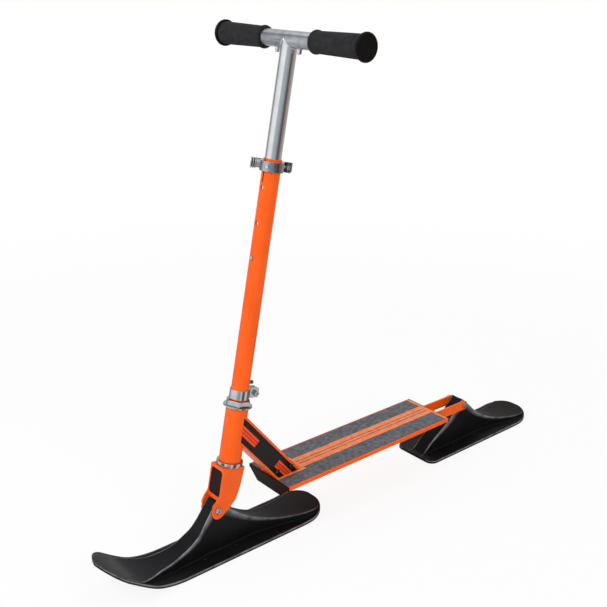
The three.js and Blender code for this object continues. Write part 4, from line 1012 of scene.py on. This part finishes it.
# Bearing in degrees and tone
WALL_TONES = [
    (-180, (0.5, 0.45, 0.41)), (-148, (0.5, 0.45, 0.41)), (-132, (0.56, 0.58, 0.6)),
    (-74, (0.56, 0.58, 0.6)), (-65, (0.18, 0.18, 0.19)), (-59, (0.18, 0.18, 0.19)),
    (-50, (0.68, 0.69, 0.71)), (-40, (0.72, 0.73, 0.75)), (-30, (1, 1, 1)), (8, (1, 1, 1)),
    (20, (0.76, 0.79, 0.82)), (34, (0.48, 0.52, 0.56)), (60, (0.42, 0.46, 0.5)),
    (74, (0.22, 0.24, 0.265)), (92, (0.18, 0.19, 0.2)), (100, (0.12, 0.1, 0.085)),
    (114, (0.12, 0.1, 0.085)), (126, (0.32, 0.27, 0.23)), (150, (0.36, 0.3, 0.26)),
    (164, (0.5, 0.45, 0.41)), (180, (0.5, 0.45, 0.41)),
]
FLOOR_TONES = [
    (-180, (0.24, 0.22, 0.2)), (-150, (0.3, 0.31, 0.33)), (-74, (0.3, 0.31, 0.33)),
    (-62, (0.9, 0.9, 0.9)), (-24, (0.9, 0.9, 0.9)), (-14, (0.1, 0.1, 0.11)),
    (6, (0.1, 0.1, 0.11)), (16, (0.9, 0.9, 0.9)), (26, (0.9, 0.9, 0.9)),
    (38, (0.4, 0.42, 0.45)), (60, (0.4, 0.42, 0.45)), (70, (0.85, 0.85, 0.85)),
    (80, (0.85, 0.85, 0.85)), (90, (0.09, 0.08, 0.08)), (110, (0.09, 0.08, 0.08)),
    (122, (0.8, 0.78, 0.76)), (142, (0.8, 0.78, 0.76)), (154, (0.24, 0.22, 0.2)),
    (180, (0.24, 0.22, 0.2)),
]
reflect_ring("reflection_wall", Vector((0, 0, 0)), (1.45, 0), (1.45, 2.0), WALL_TONES)
reflect_ring("reflection_floor", Vector((0.27, 0, 0)), (0.28, 0.002), (1.3, 0.002), FLOOR_TONES)


FLOOR_HALF = 7
FLOOR_DROP = -0.0006
SHADOW_REACH = 1.6
NEAR_GLOW = 0.88


def floor_paper():
    """White paper: it takes the shadow near the object and melts into the white beyond it."""
    finish = Finish("pale_floor", **{"Roughness": 0.9, "Specular IOR Level": 0.1})
    paper = finish.mixed(finish.grain(30, 2), shade(250, 250, 250), shade(247, 247, 248))
    finish.feed("Base Color", paper)
    glow = finish.node("ShaderNodeEmission", {}, {"Color": (1, 1, 1, 1), "Strength": 1.0})
    sight = finish.node("ShaderNodeLightPath").outputs["Is Camera Ray"]
    away = finish.node("ShaderNodeVectorMath", {"operation": "LENGTH"}, {0: finish.place})
    far = Value(finish, away.outputs["Value"]).over(SHADOW_REACH, SHADOW_REACH)
    share = Value(finish, sight) * (NEAR_GLOW + (1 - NEAR_GLOW) * far)
    blend = finish.node(
        "ShaderNodeMixShader", {}, {0: share, 1: finish.shader.outputs[0], 2: glow.outputs[0]}
    )
    below = finish.node("ShaderNodeBsdfTransparent")
    facing = finish.node("ShaderNodeNewGeometry").outputs["Backfacing"]
    both = finish.node(
        "ShaderNodeMixShader", {}, {0: facing, 1: blend.outputs[0], 2: below.outputs[0]}
    )
    finish.tree.links.new(both.outputs[0], finish.end.inputs["Surface"])
    return finish.material


def pale_floor():
    """A square of the paper just below the skis."""
    form = bmesh.new()
    bmesh.ops.create_grid(form, x_segments=1, y_segments=1, size=FLOOR_HALF)
    bmesh.ops.translate(form, verts=form.verts, vec=(0, 0, FLOOR_DROP))
    piece = studio_object("floor", form, floor_paper())


pale_floor()


def white_world():
    """White as seen and as reflected, and half as bright as a light on the object."""
    world = bpy.data.worlds.new("white_studio")
    bpy.context.scene.world = world
    sheet = Sheet(world)
    sight = sheet.node("ShaderNodeLightPath").outputs
    kinds = ("Is Camera Ray", "Is Glossy Ray", "Is Transmission Ray")
    camera, glossy, through = (Value(sheet, sight[kind]) for kind in kinds)
    shown = sheet.maths("MINIMUM", camera + glossy + through, 1)
    sky = sheet.node(
        "ShaderNodeBackground", {}, {"Color": (1, 1, 1, 1), "Strength": 0.5 + 0.5 * shown}
    )
    sheet.node("ShaderNodeOutputWorld", {}, {"Surface": sky.outputs[0]})


white_world()
bpy.context.scene.view_settings.view_transform = "Standard"
